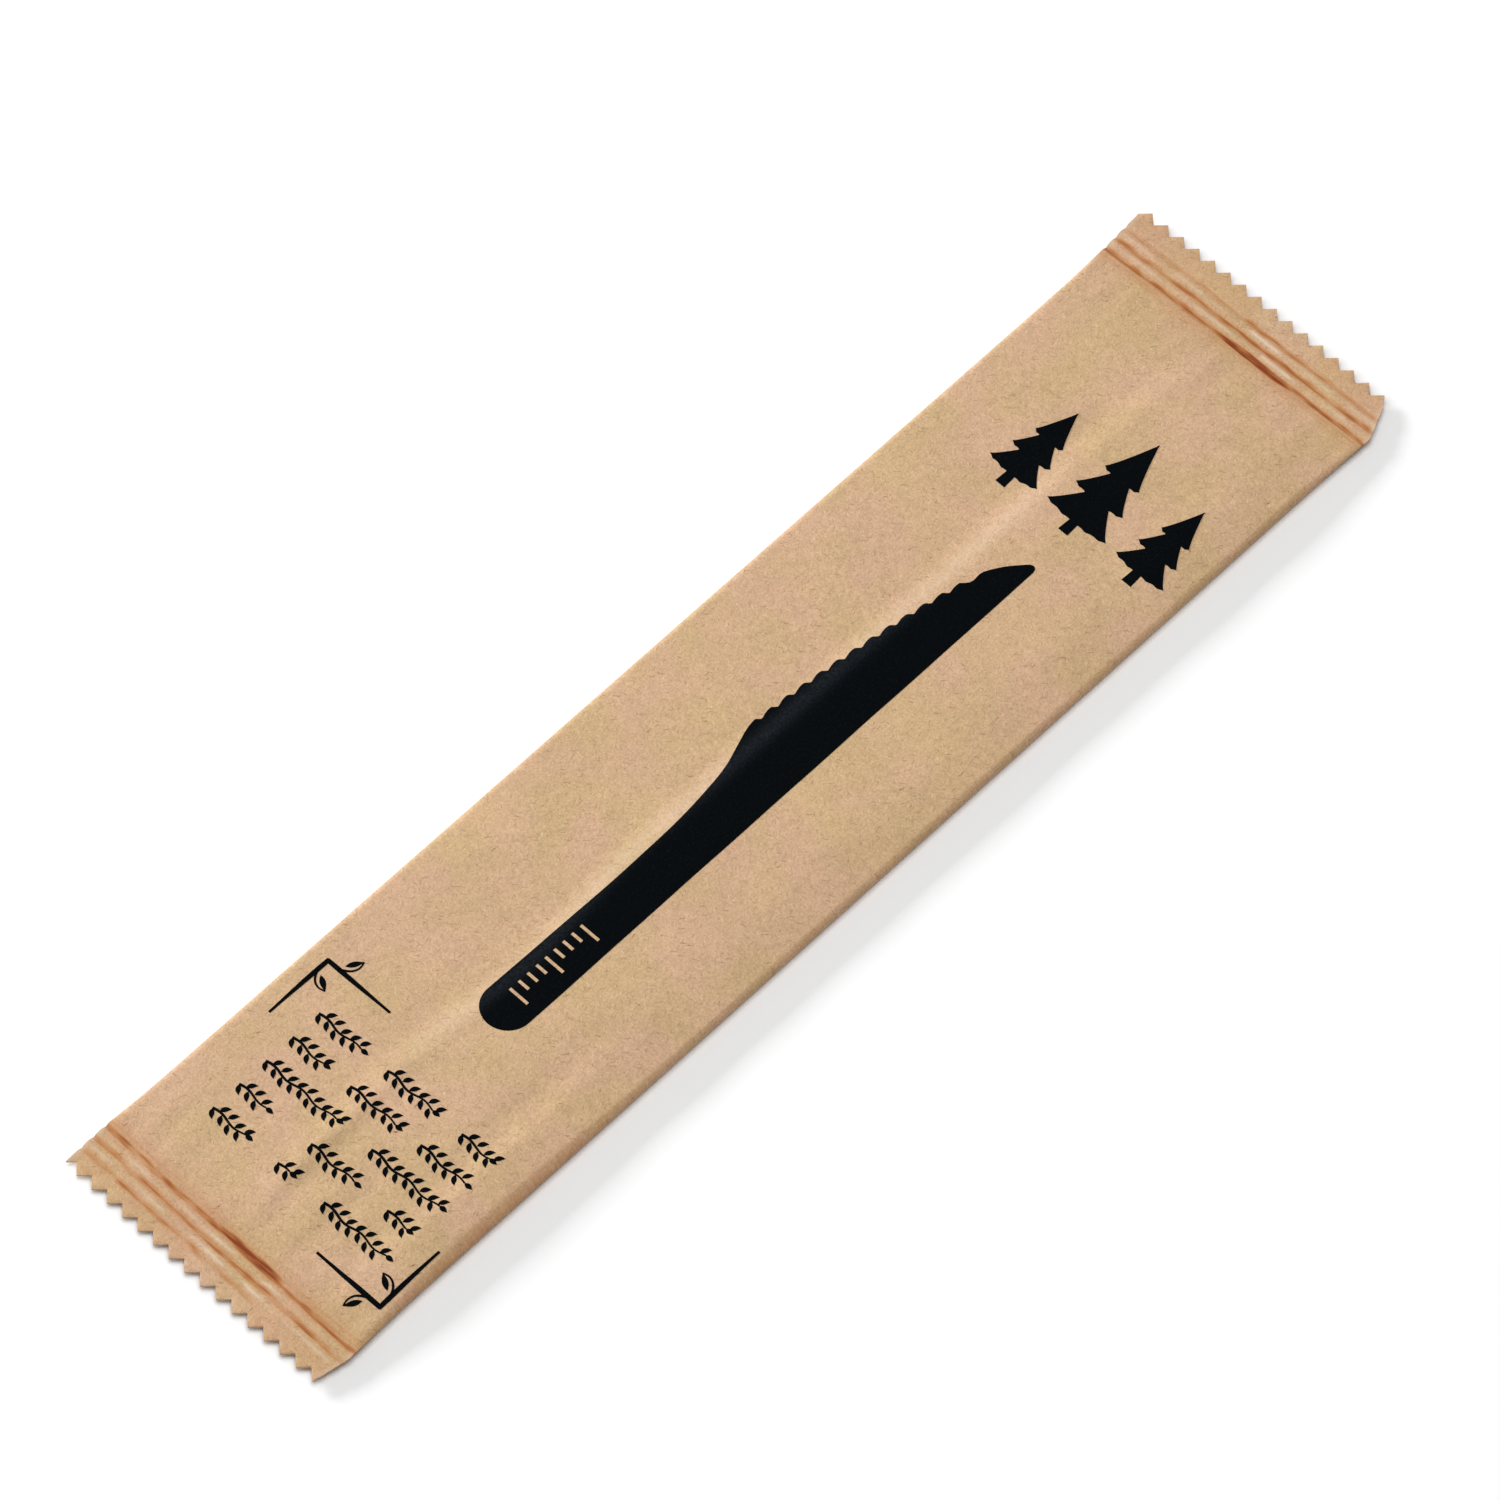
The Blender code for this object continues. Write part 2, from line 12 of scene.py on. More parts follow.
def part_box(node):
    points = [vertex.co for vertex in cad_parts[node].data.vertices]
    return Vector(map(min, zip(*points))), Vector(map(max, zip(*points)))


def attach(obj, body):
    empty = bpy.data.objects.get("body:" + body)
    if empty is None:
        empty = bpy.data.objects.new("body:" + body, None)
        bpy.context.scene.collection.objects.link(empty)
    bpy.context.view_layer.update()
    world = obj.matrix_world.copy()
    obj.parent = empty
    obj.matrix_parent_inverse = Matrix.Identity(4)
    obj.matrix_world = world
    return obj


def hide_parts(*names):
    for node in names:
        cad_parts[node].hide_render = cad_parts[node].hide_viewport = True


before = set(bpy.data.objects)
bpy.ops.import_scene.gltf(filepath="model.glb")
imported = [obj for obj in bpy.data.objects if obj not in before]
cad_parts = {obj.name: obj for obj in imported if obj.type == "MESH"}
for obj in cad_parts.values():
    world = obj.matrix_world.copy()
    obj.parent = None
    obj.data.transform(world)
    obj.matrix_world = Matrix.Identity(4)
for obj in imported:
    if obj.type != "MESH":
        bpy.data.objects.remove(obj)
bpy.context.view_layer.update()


# The wrapper. One sheet of machine-glazed kraft paper, folded round the knife to a flat tube. Heated
# rollers press both ends shut with three sharp creases each, and a toothed blade cuts them off.
LOW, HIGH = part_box("sealed_pack")
HALF_LENGTH = (HIGH.x - LOW.x) / 2
PAPER_PAIR = 0.00030        # two layers of paper pressed together in a seal
SEAL_HEIGHT = 0.00125       # from the ground to the middle of the flat seals
FAR_RADIUS, NEAR_RADIUS = 0.00095, 0.00060  # of the two folds
PANEL_RISE, PANEL_CROWN = 0.00060, 0.00020
BODY_RAMP = 0.014           # over which the body swells from a seal to its full height
PUFF_PLACE, PUFF_LENGTH = -0.068, 0.034     # the near fold's puffed stretch
PUFF_RADIUS, PUFF_RISE = 0.00080, 0.00028   # what it adds to the fold's radius and to the panel
PUFF_LINE, PUFF_SLOPE = -0.0162, 0.0026     # where the panel climbs to it, and over what width
KNIFE_LENGTH, KNIFE_WIDTH, KNIFE_EDGE = 0.165, 0.0225, 0.0026       # the last is its far side's place
# Height of the ridge over it, and widths of the ridge's slopes: far, near, and at both ends
KNIFE_RISE, KNIFE_STEP, NEAR_STEP, END_STEP = 0.00048, 0.0046, 0.0100, 0.024
KNIFE_WAIST, WAIST_PLACE, WAIST_LENGTH = 0.0018, -0.040, 0.022
FIN_ROOT, FIN_WIDTH, FIN_THICKNESS = 0.0013, 0.0105, 0.00030
FIN_PRESSED = 0.4           # the share of its thickness that is left in the seals
BACK_SAG = 0.0080           # over which the back panel comes down to the ground beside the seam
LEFT_SEAL, RIGHT_SEAL = 0.00705, 0.0082     # from the first crease to the tips of the teeth
LEFT_SKEW, RIGHT_SKEW = 0.024, -0.018       # how far the creases lean for each metre across
CRIMP_PITCH, CRIMP_DEPTH, CREASES = 0.00205, 0.00022, 3
CREASE_WIDTH = 0.00062      # from the bottom of a crease to the top of its rib
CREASE_POWER = 0.8          # below 1, its bottom is a sharper V
RIB_CROWN = 0.00004         # height of the fine ridge along the middle of each rib
SEAL_FLARE, SEAL_DROOP = 0.00035, 0.00030   # how far the seals stand out sideways, and hang down
# What the right seal's far edge stands out, what the near edges draw in, and the share where they start
RIGHT_SPREAD, RIGHT_TAPER, LEFT_TAPER, TAPER_START = 0.00060, 0.0030, 0.0012, 0.15
EDGE_NOTCH = 0.00009        # how far a crease pulls the seal's side edges in
TEETH, TOOTH_DEPTH, TOOTH_BOW = 16, 0.00135, 0.00030    # the bow is of their line across the pack
TOOTH_ROOT = 0.00030        # from the valleys to where the film starts to follow them
RIGHT_CUT, LEFT_CUT = (0.0, 0.8), (0.28, 0.0)   # half teeth lost at the far and near corners
BODY_WIDTH = HIGH.y - LOW.y - 2 * SEAL_FLARE - RIGHT_SPREAD
BODY_SHIFT = RIGHT_SPREAD / 2
LEFT_CREASE, RIGHT_CREASE = LEFT_SEAL - HALF_LENGTH, HALF_LENGTH - RIGHT_SEAL
WAVE_LENGTH, WAVE_HEIGHT = 0.019, 0.000040      # slack undulations of the front panel
PUCKER_LENGTH, PUCKER_HEIGHT = 0.0042, 0.00007  # small wrinkles that run in from the seals
PUCKER_REACH, PUCKER_STRETCH = 0.007, 4         # how far they run, and how much longer than wide
# Soft folds of the slack paper: start and end along the pack, places across there, width and height
SLACK_FOLDS = ((-0.098, -0.055, 0.0001, 0.0007, 0.0010, 0.00011),
               (-0.098, -0.057, -0.0021, -0.0017, 0.0016, -0.00016),
               (-0.098, -0.073, -0.0062, -0.0056, 0.0012, 0.00010),
               (-0.098, -0.073, -0.0088, -0.0082, 0.0017, -0.00016),
               (-0.094, -0.030, -0.0135, -0.0142, 0.0018, -0.00015),
               (-0.060, -0.030, 0.0048, 0.0054, 0.0016, -0.00010),
               (0.040, 0.086, 0.0058, 0.0042, 0.0020, -0.00005))
HALF_TOOTH_CELLS = 4
COLUMNS = 2 * TEETH * HALF_TOOTH_CELLS
FOLD_CELLS = 7
SEAL_STEP, RAMP_STEP, BODY_STEP = 0.00021, 0.00052, 0.00072     # between rows of the mesh


def smooth(t):
    """Smooth step: 3 t squared less 2 t cubed, with t held between 0 and 1."""
    t = np.clip(t, 0.0, 1.0)
    return t * t * (3 - 2 * t)


def bell(x, place, reach):
    """Smooth bell of height 1 at a place, which falls to nothing at its reach."""
    return smooth(1 - np.abs(x - place) / reach)


def peak(distance, width):
    """Gaussian: e to the power of minus the square of distance over width."""
    return np.exp(-(distance / width) ** 2)


def ripples(x, y, wavelength, seed):
    """Random field of about unit height: sixteen plane waves of like length in random directions."""
    dice = np.random.default_rng(seed)
    waves = dice.uniform((0, 0, 0.7), (np.pi, 2 * np.pi, 1.5), (16, 3))
    total = np.zeros(np.broadcast(x, y).shape)
    for angle, phase, stretch in waves:
        along = x * np.cos(angle) + y * np.sin(angle)
        total += np.sin(2 * np.pi * stretch * along / wavelength + phase)
    return total / np.sqrt(len(waves) / 2)


def inward(s):
    """Distance from the nearer seal's first crease towards the middle, negative in a seal."""
    return np.minimum(s - LEFT_CREASE, RIGHT_CREASE - s)


def swell(s):
    """Share of the body's full height: 1 less the square of what is left of the ramp."""
    return 1 - (1 - np.clip(inward(s) / BODY_RAMP, 0.0, 1.0)) ** 2


def outward(s):
    """Share of a seal's length outside its first crease."""
    return np.clip(-inward(s) / np.where(s < 0, LEFT_SEAL, RIGHT_SEAL), 0.0, 1.0)


def from_crease(s):
    """Distance to the nearest crease, far from all creases outside the crimped stretch."""
    number = np.clip(np.round(-inward(s) / CRIMP_PITCH), 0, CREASES - 1)
    return np.abs(-inward(s) - number * CRIMP_PITCH)


def far_edge(s):
    """The fold at +Y: half the body's width, flared and notched in the seals, spread at the right."""
    flare = SEAL_FLARE * (1 - swell(s)) - EDGE_NOTCH * peak(from_crease(s), CREASE_WIDTH / 2)
    return BODY_WIDTH / 2 - BODY_SHIFT + flare + np.where(s > 0, RIGHT_SPREAD, 0.0) * outward(s)


def near_edge(s):
    """The fold at -Y: the same flare and notches, drawn in towards the teeth."""
    flare = SEAL_FLARE * (1 - swell(s)) - EDGE_NOTCH * peak(from_crease(s), CREASE_WIDTH / 2)
    drawn = np.clip((outward(s) - TAPER_START) / (1 - TAPER_START), 0.0, 1.0)
    return -BODY_WIDTH / 2 - BODY_SHIFT - flare + np.where(s > 0, RIGHT_TAPER, LEFT_TAPER) * drawn


def tooth_rows(side):
    """Places of the tips and valleys across an end, from fold to fold, their spacing, and one tip."""
    far, near = far_edge(side * HALF_LENGTH), near_edge(side * HALF_LENGTH)
    cut_far, cut_near = RIGHT_CUT if side > 0 else LEFT_CUT
    half = (far - near) / (2 * TEETH - cut_far - cut_near)
    start = far + cut_far * half
    rows = np.clip(start - half * np.arange(2 * TEETH + 1), near, far)
    return rows, half, start - half if side > 0 else start


def tooth_line(side, y):
    """Zigzag end: a triangle wave across the pack on a line that is bowed by the square of y."""
    _, half, tip = tooth_rows(side)
    wave = np.abs(((y - tip) / (2 * half) + 0.5) % 1 - 0.5) * 2
    return side * (HALF_LENGTH - TOOTH_BOW * (2 * y / BODY_WIDTH) ** 2 - TOOTH_DEPTH * wave)


def fold_radii(s):
    """Radii of the far and near folds; the near one is puffed up at the loose end."""
    return FAR_RADIUS + 0 * s, NEAR_RADIUS + PUFF_RADIUS * bell(s, PUFF_PLACE, PUFF_LENGTH)


def round_off(s, y):
    """Quarter circles at both folds: 0 on the fold line, 1 on the panels."""
    far_radius, near_radius = fold_radii(s)
    far_gap = np.clip((far_edge(s) - y) / far_radius, 0.0, 1.0)
    near_gap = np.clip((y - near_edge(s)) / near_radius, 0.0, 1.0)
    return np.sqrt(1 - (1 - far_gap) ** 2) * np.sqrt(1 - (1 - near_gap) ** 2)


def crimp(s):
    """Height of the pressed film over the flat seal: rounded V creases, and a ridge on each rib."""
    last = (CREASES - 1) * CRIMP_PITCH
    within = smooth((CREASE_WIDTH - inward(s)) / CREASE_WIDTH)
    within = within * smooth((last + CREASE_WIDTH + inward(s)) / CREASE_WIDTH)
    ridge = RIB_CROWN * np.cos(4 * np.pi * from_crease(s) / CRIMP_PITCH) * (inward(s) < 0)
    return within * ridge - CRIMP_DEPTH * (1 - smooth(from_crease(s) / CREASE_WIDTH) ** CREASE_POWER)


def seal_middle(s):
    """Height of the film's middle in a seal."""
    return SEAL_HEIGHT + crimp(s) - SEAL_DROOP * outward(s) ** 2


def knife_edge(s):
    """Far edge of the knife in the pack, drawn in by a bell at its waist."""
    return KNIFE_EDGE - KNIFE_WAIST * bell(s, WAIST_PLACE, WAIST_LENGTH)


def slack(s, y):
    """Soft folds, each half a sine along its line and a Gaussian across it."""
    total = 0 * (s + y)
    for start, end, first, last, width, height in SLACK_FOLDS:
        t = np.clip((s - start) / (end - start), 0.0, 1.0)
        total = total + height * np.sin(np.pi * t) * peak(y - first - (last - first) * t, width)
    return total


def front_height(s, y):
    """Top of the pack: a crowned panel with the knife's ridge, soft folds, and puckers by the seals."""
    over_far = smooth((knife_edge(s) + KNIFE_STEP / 2 - y) / KNIFE_STEP)
    over_near = smooth((y - (KNIFE_EDGE - KNIFE_WIDTH) + NEAR_STEP / 2) / NEAR_STEP)
    over_end = smooth((KNIFE_LENGTH / 2 - np.abs(s)) / END_STEP + 0.5)
    crown = PANEL_CROWN * (1 - (2 * y / BODY_WIDTH) ** 4)
    puff = PUFF_RISE * bell(s, PUFF_PLACE, PUFF_LENGTH) * smooth((PUFF_LINE - y) / PUFF_SLOPE + 0.5)
    waves = WAVE_HEIGHT * ripples(s, y, WAVE_LENGTH, 3) + slack(s, y)
    pucker = PUCKER_HEIGHT * ripples(s / PUCKER_STRETCH, y, PUCKER_LENGTH, 5)
    pucker = pucker * peak(inward(s), PUCKER_REACH)
    swollen = PANEL_RISE + crown + KNIFE_RISE * over_far * over_near * over_end + puff + waves + pucker
    return seal_middle(s) + PAPER_PAIR / 2 + swell(s) * round_off(s, y) * swollen


def back_height(s, y):
    """Underside: over the seam the panel lies on it, and beside it the panel sags to the ground."""
    beside = np.maximum(np.maximum(y - FIN_ROOT, FIN_ROOT - FIN_WIDTH - y), 0.0)
    panel = FIN_THICKNESS * smooth(1 - beside / BACK_SAG)
    seal = seal_middle(s) - PAPER_PAIR / 2
    return seal + (panel - seal) * swell(s) * round_off(s, y)


def lean(s):
    """How far the creases of each seal lean for each metre across, fading out along the body."""
    left = LEFT_SKEW * bell(s, LEFT_CREASE, 2 * LEFT_SEAL)
    return left + RIGHT_SKEW * bell(s, RIGHT_CREASE, 2 * RIGHT_SEAL)


def placed(s, y):
    """X of the film at station s: straight across, leaning at the seals, and zigzag at the ends."""
    side = np.where(s > 0, 1, -1)
    plain = s + lean(s) * y
    start = HALF_LENGTH - TOOTH_DEPTH - TOOTH_BOW - TOOTH_ROOT
    share = np.clip((np.abs(s) - start) / (HALF_LENGTH - start), 0.0, 1.0)
    line = np.where(s > 0, tooth_line(1, y), tooth_line(-1, y))
    last = side * start + lean(side * start) * y
    return np.where(share > 0, last + (line - last) * share, plain)


def spaced(start, end, step):
    """Even places from start to end, at most a step apart."""
    return np.linspace(start, end, int(np.ceil((end - start) / step)) + 1)


def column_shares(s):
    """Shares of the width at each column: half-tooth cells in the seals, cosine steps at the folds."""
    width = far_edge(s) - near_edge(s)
    far_radius, near_radius = (radius / width for radius in fold_radii(s))
    turn = 1 - np.cos(np.arange(FOLD_CELLS) * np.pi / 2 / FOLD_CELLS)
    between = np.linspace(0, 1, COLUMNS + 1 - 2 * FOLD_CELLS)
    panel = far_radius * (1 - between) + (1 - near_radius) * between
    body = np.concatenate((far_radius * turn, panel, 1 - near_radius * turn[::-1]), axis=1)
    ends = []
    for side in (-1, 1):
        rows = tooth_rows(side)[0]
        cells = np.interp(np.arange(COLUMNS + 1) / HALF_TOOTH_CELLS, np.arange(2 * TEETH + 1), rows)
        ends.append((cells[0] - cells) / (cells[0] - cells[-1]))
    settle = smooth(inward(s) / BODY_RAMP)
    return (1 - settle) * np.where(s < 0, ends[0], ends[1]) + settle * body


def new_piece(name, points, faces, material):
    """A smooth mesh object at the origin, with sharp edges where it turns by over 50 degrees."""
    mesh = bpy.data.meshes.new(name)
    mesh.from_pydata(points.reshape(-1, 3), [], faces)
    mesh.materials.append(material)
    mesh.shade_smooth()
    mesh.set_sharp_from_angle(angle=np.radians(50))
    piece = bpy.data.objects.new(name, mesh)
    bpy.context.scene.collection.objects.link(piece)
    return piece


def add(tree, kind, inputs=(), **settings):
    """Adds a node with its settings, and gives each named input a value or another node's output."""
    node = tree.nodes.new(kind)
    for name, value in settings.items():
        setattr(node, name, value)
    for socket, value in dict(inputs).items():
        if isinstance(value, bpy.types.NodeSocket):
            tree.links.new(value, node.inputs[socket])
        else:
            node.inputs[socket].default_value = value
    return node


def colour(code):
    """Linear RGBA of an sRGB hex code."""
    part = np.array([int(code[k:k + 2], 16) for k in (1, 3, 5)]) / 255
    return *np.where(part > 0.04045, ((part + 0.055) / 1.055) ** 2.4, part / 12.92), 1.0


def new_material(name):
    """An empty material: its node tree, its Principled shader and its Object coordinates."""
    material = bpy.data.materials.new(name)
    material.use_nodes = True
    tree = material.node_tree
    tree.nodes.clear()
    shader = add(tree, "ShaderNodeBsdfPrincipled")
    add(tree, "ShaderNodeOutputMaterial", {"Surface": shader.outputs["BSDF"]})
    return material, tree, shader, add(tree, "ShaderNodeTexCoord").outputs["Object"]


# Unbleached sulphate paper: matt brown, cloudy where it is thicker, with dark and pale single fibres
PAPER_SHADES, CLOUD_SIZE = ("#C6A282", "#C1A279"), 0.0080
GRAINS = ((0.0140, 0.034), (0.0032, 0.03), (0.0010, 0.06), (0.00030, 0.15))     # sizes and depths
# Its fibres: direction in degrees, size, the share of places that have one, strength, and shade. Real
# ones are some 0.03 mm wide, too fine to show, so these are drawn a few times as wide.
FIBRES = ((20, 0.0008, 0.60, 0.55, "#8F6A44"), (75, 0.0007, 0.60, 0.50, "#96704A"),
          (130, 0.0011, 0.35, 0.55, "#86603A"), (165, 0.0010, 0.09, 0.85, "#6E4A2A"),
          (50, 0.0009, 0.35, 0.38, "#E6CFAE"), (105, 0.0007, 0.40, 0.36, "#E6CFAE"))
FIBRE_SPACE = 4.0, 0.45                 # length and width of a fibre's own space, in shares of its size
FIBRE_CORE, FIBRE_RIM = 0.06, 0.15      # where in that space it starts to fade, and where it has faded
FIBRE_CURL = 0.0007                     # how far fibres wander, and over what length
PRESS_LINE = 0.00034, 0.0060            # width and length of the fine lines that pressing leaves
# Toasted, and then charred: the browning at which each sets in and is full, and its shade
# The toasted shade also browns the near fold, as painted shade.
SCORCH_AND_SHADE_TONES = ((0.0, 0.55, "#B0743F"), (0.45, 1.10, "#803506"))
# Pale shade of the seals' folds, of the painted highlights on the ribs, and of the painted sheen along
# the knife's ridge
PALE_AND_HIGHLIGHT_SHADE = "#E3D3BC"


def fibres(tree, coords, angle, size, share, strength):
    """Mask of single fibres: long ellipses round random points, kept for a share of them."""
    turned = add(tree, "ShaderNodeMapping", {
        "Vector": coords, "Rotation": (0, 0, np.radians(angle)),
        "Scale": (size * FIBRE_SPACE[0], size * FIBRE_SPACE[1], size)}, vector_type="TEXTURE")
    cell = add(tree, "ShaderNodeTexVoronoi", {"Vector": turned.outputs[0], "Scale": 1.0},
               voronoi_dimensions="2D")
    core = add(tree, "ShaderNodeMapRange",
               {0: cell.outputs["Distance"], 1: FIBRE_CORE, 2: FIBRE_RIM, 3: strength, 4: 0.0})
    chosen = add(tree, "ShaderNodeMath", {0: cell.outputs["Color"], 1: share}, operation="LESS_THAN")
    return add(tree, "ShaderNodeMath", {0: core.outputs[0], 1: chosen.outputs[0]}, operation="MULTIPLY")


def kraft_paper():
    """The wrapper's paper: two shades in clouds, times four grains, under fibres, marks of making and
    painted light.

    One attribute browns it where hot rollers pressed it, and browns the near fold as painted shade.
    Another pales it, with painted highlights and sheen; both are broken up by noise in fine lines along
    the seals.
    """
    material, tree, shader, coords = new_material("unbleached_kraft_paper")
    cloud = add(tree, "ShaderNodeTexNoise", {"Vector": coords, "Scale": 1 / CLOUD_SIZE, "Detail": 1.0})
    clouds = add(tree, "ShaderNodeMapRange", {0: cloud.outputs["Fac"], 1: 0.35, 2: 0.65})
    thin, thick = (colour(shade) for shade in PAPER_SHADES)
    tone = add(tree, "ShaderNodeMix", {0: clouds.outputs[0], 6: thin, 7: thick}, data_type="RGBA")
    for size, depth in GRAINS:
        grain = add(tree, "ShaderNodeTexNoise", {"Vector": coords, "Scale": 1 / size, "Detail": 3.0})
        depths = add(tree, "ShaderNodeMapRange",
                     {0: grain.outputs["Fac"], 1: 0.3, 2: 0.7, 3: 1 - depth, 4: 1 + depth})
        tone = add(tree, "ShaderNodeMix", {0: 1.0, 6: tone.outputs[2], 7: depths.outputs[0]},
                   data_type="RGBA", blend_type="MULTIPLY")
    swirl = add(tree, "ShaderNodeTexNoise", {"Vector": coords, "Scale": 1 / FIBRE_CURL, "Detail": 1.0})
    curled = add(tree, "ShaderNodeVectorMath",
                 {0: swirl.outputs["Color"], 1: (FIBRE_CURL, FIBRE_CURL, 0.0), 2: coords},
                 operation="MULTIPLY_ADD")
    layers = [(fibres(tree, curled.outputs[0], *fibre), shade) for *fibre, shade in FIBRES]
    drawn = add(tree, "ShaderNodeMapping",
                {"Vector": coords, "Scale": (1 / PRESS_LINE[0], 1 / PRESS_LINE[1], 1.0)})
    lines = add(tree, "ShaderNodeTexNoise", {"Vector": drawn.outputs[0], "Scale": 1.0, "Detail": 3.0})
    fuzz = add(tree, "ShaderNodeMapRange", {0: lines.outputs["Fac"], 1: 0.3, 2: 0.7, 3: 0.52, 4: 1.48})
    # Browning, with painted shade on the near fold; and paling, with painted highlights on the ribs and
    # the knife's ridge
    marks = [add(tree, "ShaderNodeAttribute", attribute_name=name) for name in ("scorch_and_shade", "paling_and_highlights")]
    scorch_and_shade_mask, paling_and_highlight_mask = (add(tree, "ShaderNodeMath", {0: mark.outputs["Fac"], 1: fuzz.outputs[0]},
                         operation="MULTIPLY") for mark in marks)
    for start, full, shade in SCORCH_AND_SHADE_TONES:
        scorch_and_shade_layer = add(tree, "ShaderNodeMapRange", {0: scorch_and_shade_mask.outputs[0], 1: start, 2: full})
        layers.append((scorch_and_shade_layer, shade))
    for mask, shade in layers + [(paling_and_highlight_mask, PALE_AND_HIGHLIGHT_SHADE)]:
        tone = add(tree, "ShaderNodeMix",
                   {0: mask.outputs[0], 6: tone.outputs[2], 7: colour(shade)}, data_type="RGBA")
    tree.links.new(tone.outputs[2], shader.inputs["Base Color"])
    relief = add(tree, "ShaderNodeBump",
                 {"Strength": 0.5, "Distance": 0.00003, "Height": grain.outputs["Fac"]})
    tree.links.new(relief.outputs[0], shader.inputs["Normal"])
    shader.inputs["Roughness"].default_value = 0.78
    shader.inputs["Specular IOR Level"].default_value = 0.35
    return material


# Shares of full scorching at the first, second and third crease: beside the seam, over it, and nearer
RIGHT_SCORCH = ((0.66, 0.56, 0.28), (0.74, 0.66, 0.50), (0.66, 0.58, 0.40))
LEFT_SCORCH = ((0.60, 0.54, 0.42), (0.70, 0.60, 0.34), (0.58, 0.46, 0.10))
SCORCH_WIDTH, SCORCH_WANDER, WANDER_LENGTH = 0.00042, 0.00006, 0.0050
SCORCH_SIDES, SCORCH_LIMIT = (0.75, 1.3), 1.3   # shares of its width outwards and inwards, and the cap
SCORCH_PATCHES, PATCH_LENGTH = 0.16, 0.0034     # how much its strength varies, and over what length
SEAM_MARGIN, SEAM_BLUR = 0.0008, 0.0014         # how far past the fin its mark reaches, and its blur
# Darkest streaks, where the rollers met the seam: start and end across, shift outwards, and half width
RIGHT_BURNS = ((0.0034, -0.0080, -0.00016, 0.00052), (-0.0026, -0.0110, -0.00030, 0.00050))
LEFT_BURNS = ((0.0022, -0.0068, -0.00040, 0.00044), (-0.0012, -0.0102, -0.00030, 0.00058))
BURN_STRENGTH, BURN_PATCHES, BURN_PATCH_LENGTH = 1.16, 0.08, 0.0030
BURN_REACH = 0.0014         # how far past the first crease they and the fine mesh go
SEAL_WARMTH = 0.09          # browning of the flat seals beside the seam
# Painted shade on the near fold, which faces away from the raking light: browner, and more where it is
# puffed
NEAR_FOLD_SHADE, PUFF_SHADE, FOLD_BLUR = 0.10, 0.16, 0.0006    # of the near fold, more where it is puffed
# Browning on the body's shoulders: strength, distance from the first crease, and reach
SHOULDERS = ((0.18, 0.0006, 0.0012), (0.05, 0.0, 0.0050))
# Painted highlight along the ribs' crests, what is added to it over the seam, its width, and the length
# of its streaks
RIB_HIGHLIGHT, SEAM_HIGHLIGHT, RIB_BLUR, STREAK_LENGTH = 0.24, 0.22, 0.00026, 0.0080
# Makes the seals' folds paler: strength and width
FOLD_PALING, FOLD_EDGE = 0.25, 0.0005     # on the seals' folds
# Painted sheen along the knife's edge: strength, shift towards the knife, width, end, and fading length
RIDGE_SHEEN, RIDGE_SHIFT, RIDGE_BLUR, RIDGE_END, RIDGE_FADE = 0.15, 0.0005, 0.0013, 0.066, 0.016


def over_seam(y):
    """1 where the pressed seam lies behind the film, 0 beside it."""
    inside = smooth((FIN_ROOT + SEAM_MARGIN - y) / SEAM_BLUR)
    return inside * smooth((y - FIN_ROOT + FIN_WIDTH + SEAM_MARGIN) / SEAM_BLUR)


def scorch_line(distance, width):
    """Gaussian line that is sharper on its outer side than towards the body."""
    return peak(distance, width * np.where(distance > 0, *SCORCH_SIDES))


def burn_streak(distance, y, start, end, width):
    """Band that fades between half and one and a half widths, and tapers by the root of a sine."""
    taper = np.sin(np.pi * np.clip((start - y) / (start - end), 0.0, 1.0)) ** 0.5
    return BURN_STRENGTH * taper * smooth(1.5 - np.abs(distance) / (width * (0.5 + 0.5 * taper)))


def scorch_and_fold_shade(s, y):
    """Browning: the most of warm seals, painted shade on the near fold, wandering lines on creases,
    burns, and shoulders.
    """
    seam = over_seam(y)
    nearer = (1 - seam) * (y < FIN_ROOT - FIN_WIDTH / 2)
    puffed = bell(s, PUFF_PLACE, PUFF_LENGTH)
    total = SEAL_WARMTH * (1 - seam) * smooth(-inward(s) / CRIMP_PITCH + 0.3)
    # Painted shade: the near fold, turned away from the light, is browned
    fold = peak(y - near_edge(s), FOLD_BLUR + FOLD_BLUR * puffed)
    total = total + (NEAR_FOLD_SHADE + PUFF_SHADE * puffed) * fold
    for side, table, burns in ((-1, LEFT_SCORCH, LEFT_BURNS), (1, RIGHT_SCORCH, RIGHT_BURNS)):
        here = np.sign(s) == side
        for k, (beside, over, near) in enumerate(zip(*table)):
            level = beside + (over - beside) * seam + (near - beside) * nearer
            wander = SCORCH_WANDER * ripples(0 * s, y, WANDER_LENGTH, 31 + k)
            line = scorch_line(-inward(s) - k * CRIMP_PITCH + wander, SCORCH_WIDTH) * here
            patches = 1 + SCORCH_PATCHES * ripples(s, y, PATCH_LENGTH, 11 + k)
            total = np.maximum(total, level * line * patches)
        for start, end, shift, width in burns:
            burn = burn_streak(-inward(s) - shift, y, start, end, width) * here
            patches = 1 + BURN_PATCHES * ripples(s * 2, y, BURN_PATCH_LENGTH, 17)
            total = np.maximum(total, burn * patches)
    shoulder = sum(level * peak(inward(s) - place, reach) for level, place, reach in SHOULDERS)
    return np.clip(np.maximum(total, shoulder), 0.0, SCORCH_LIMIT)


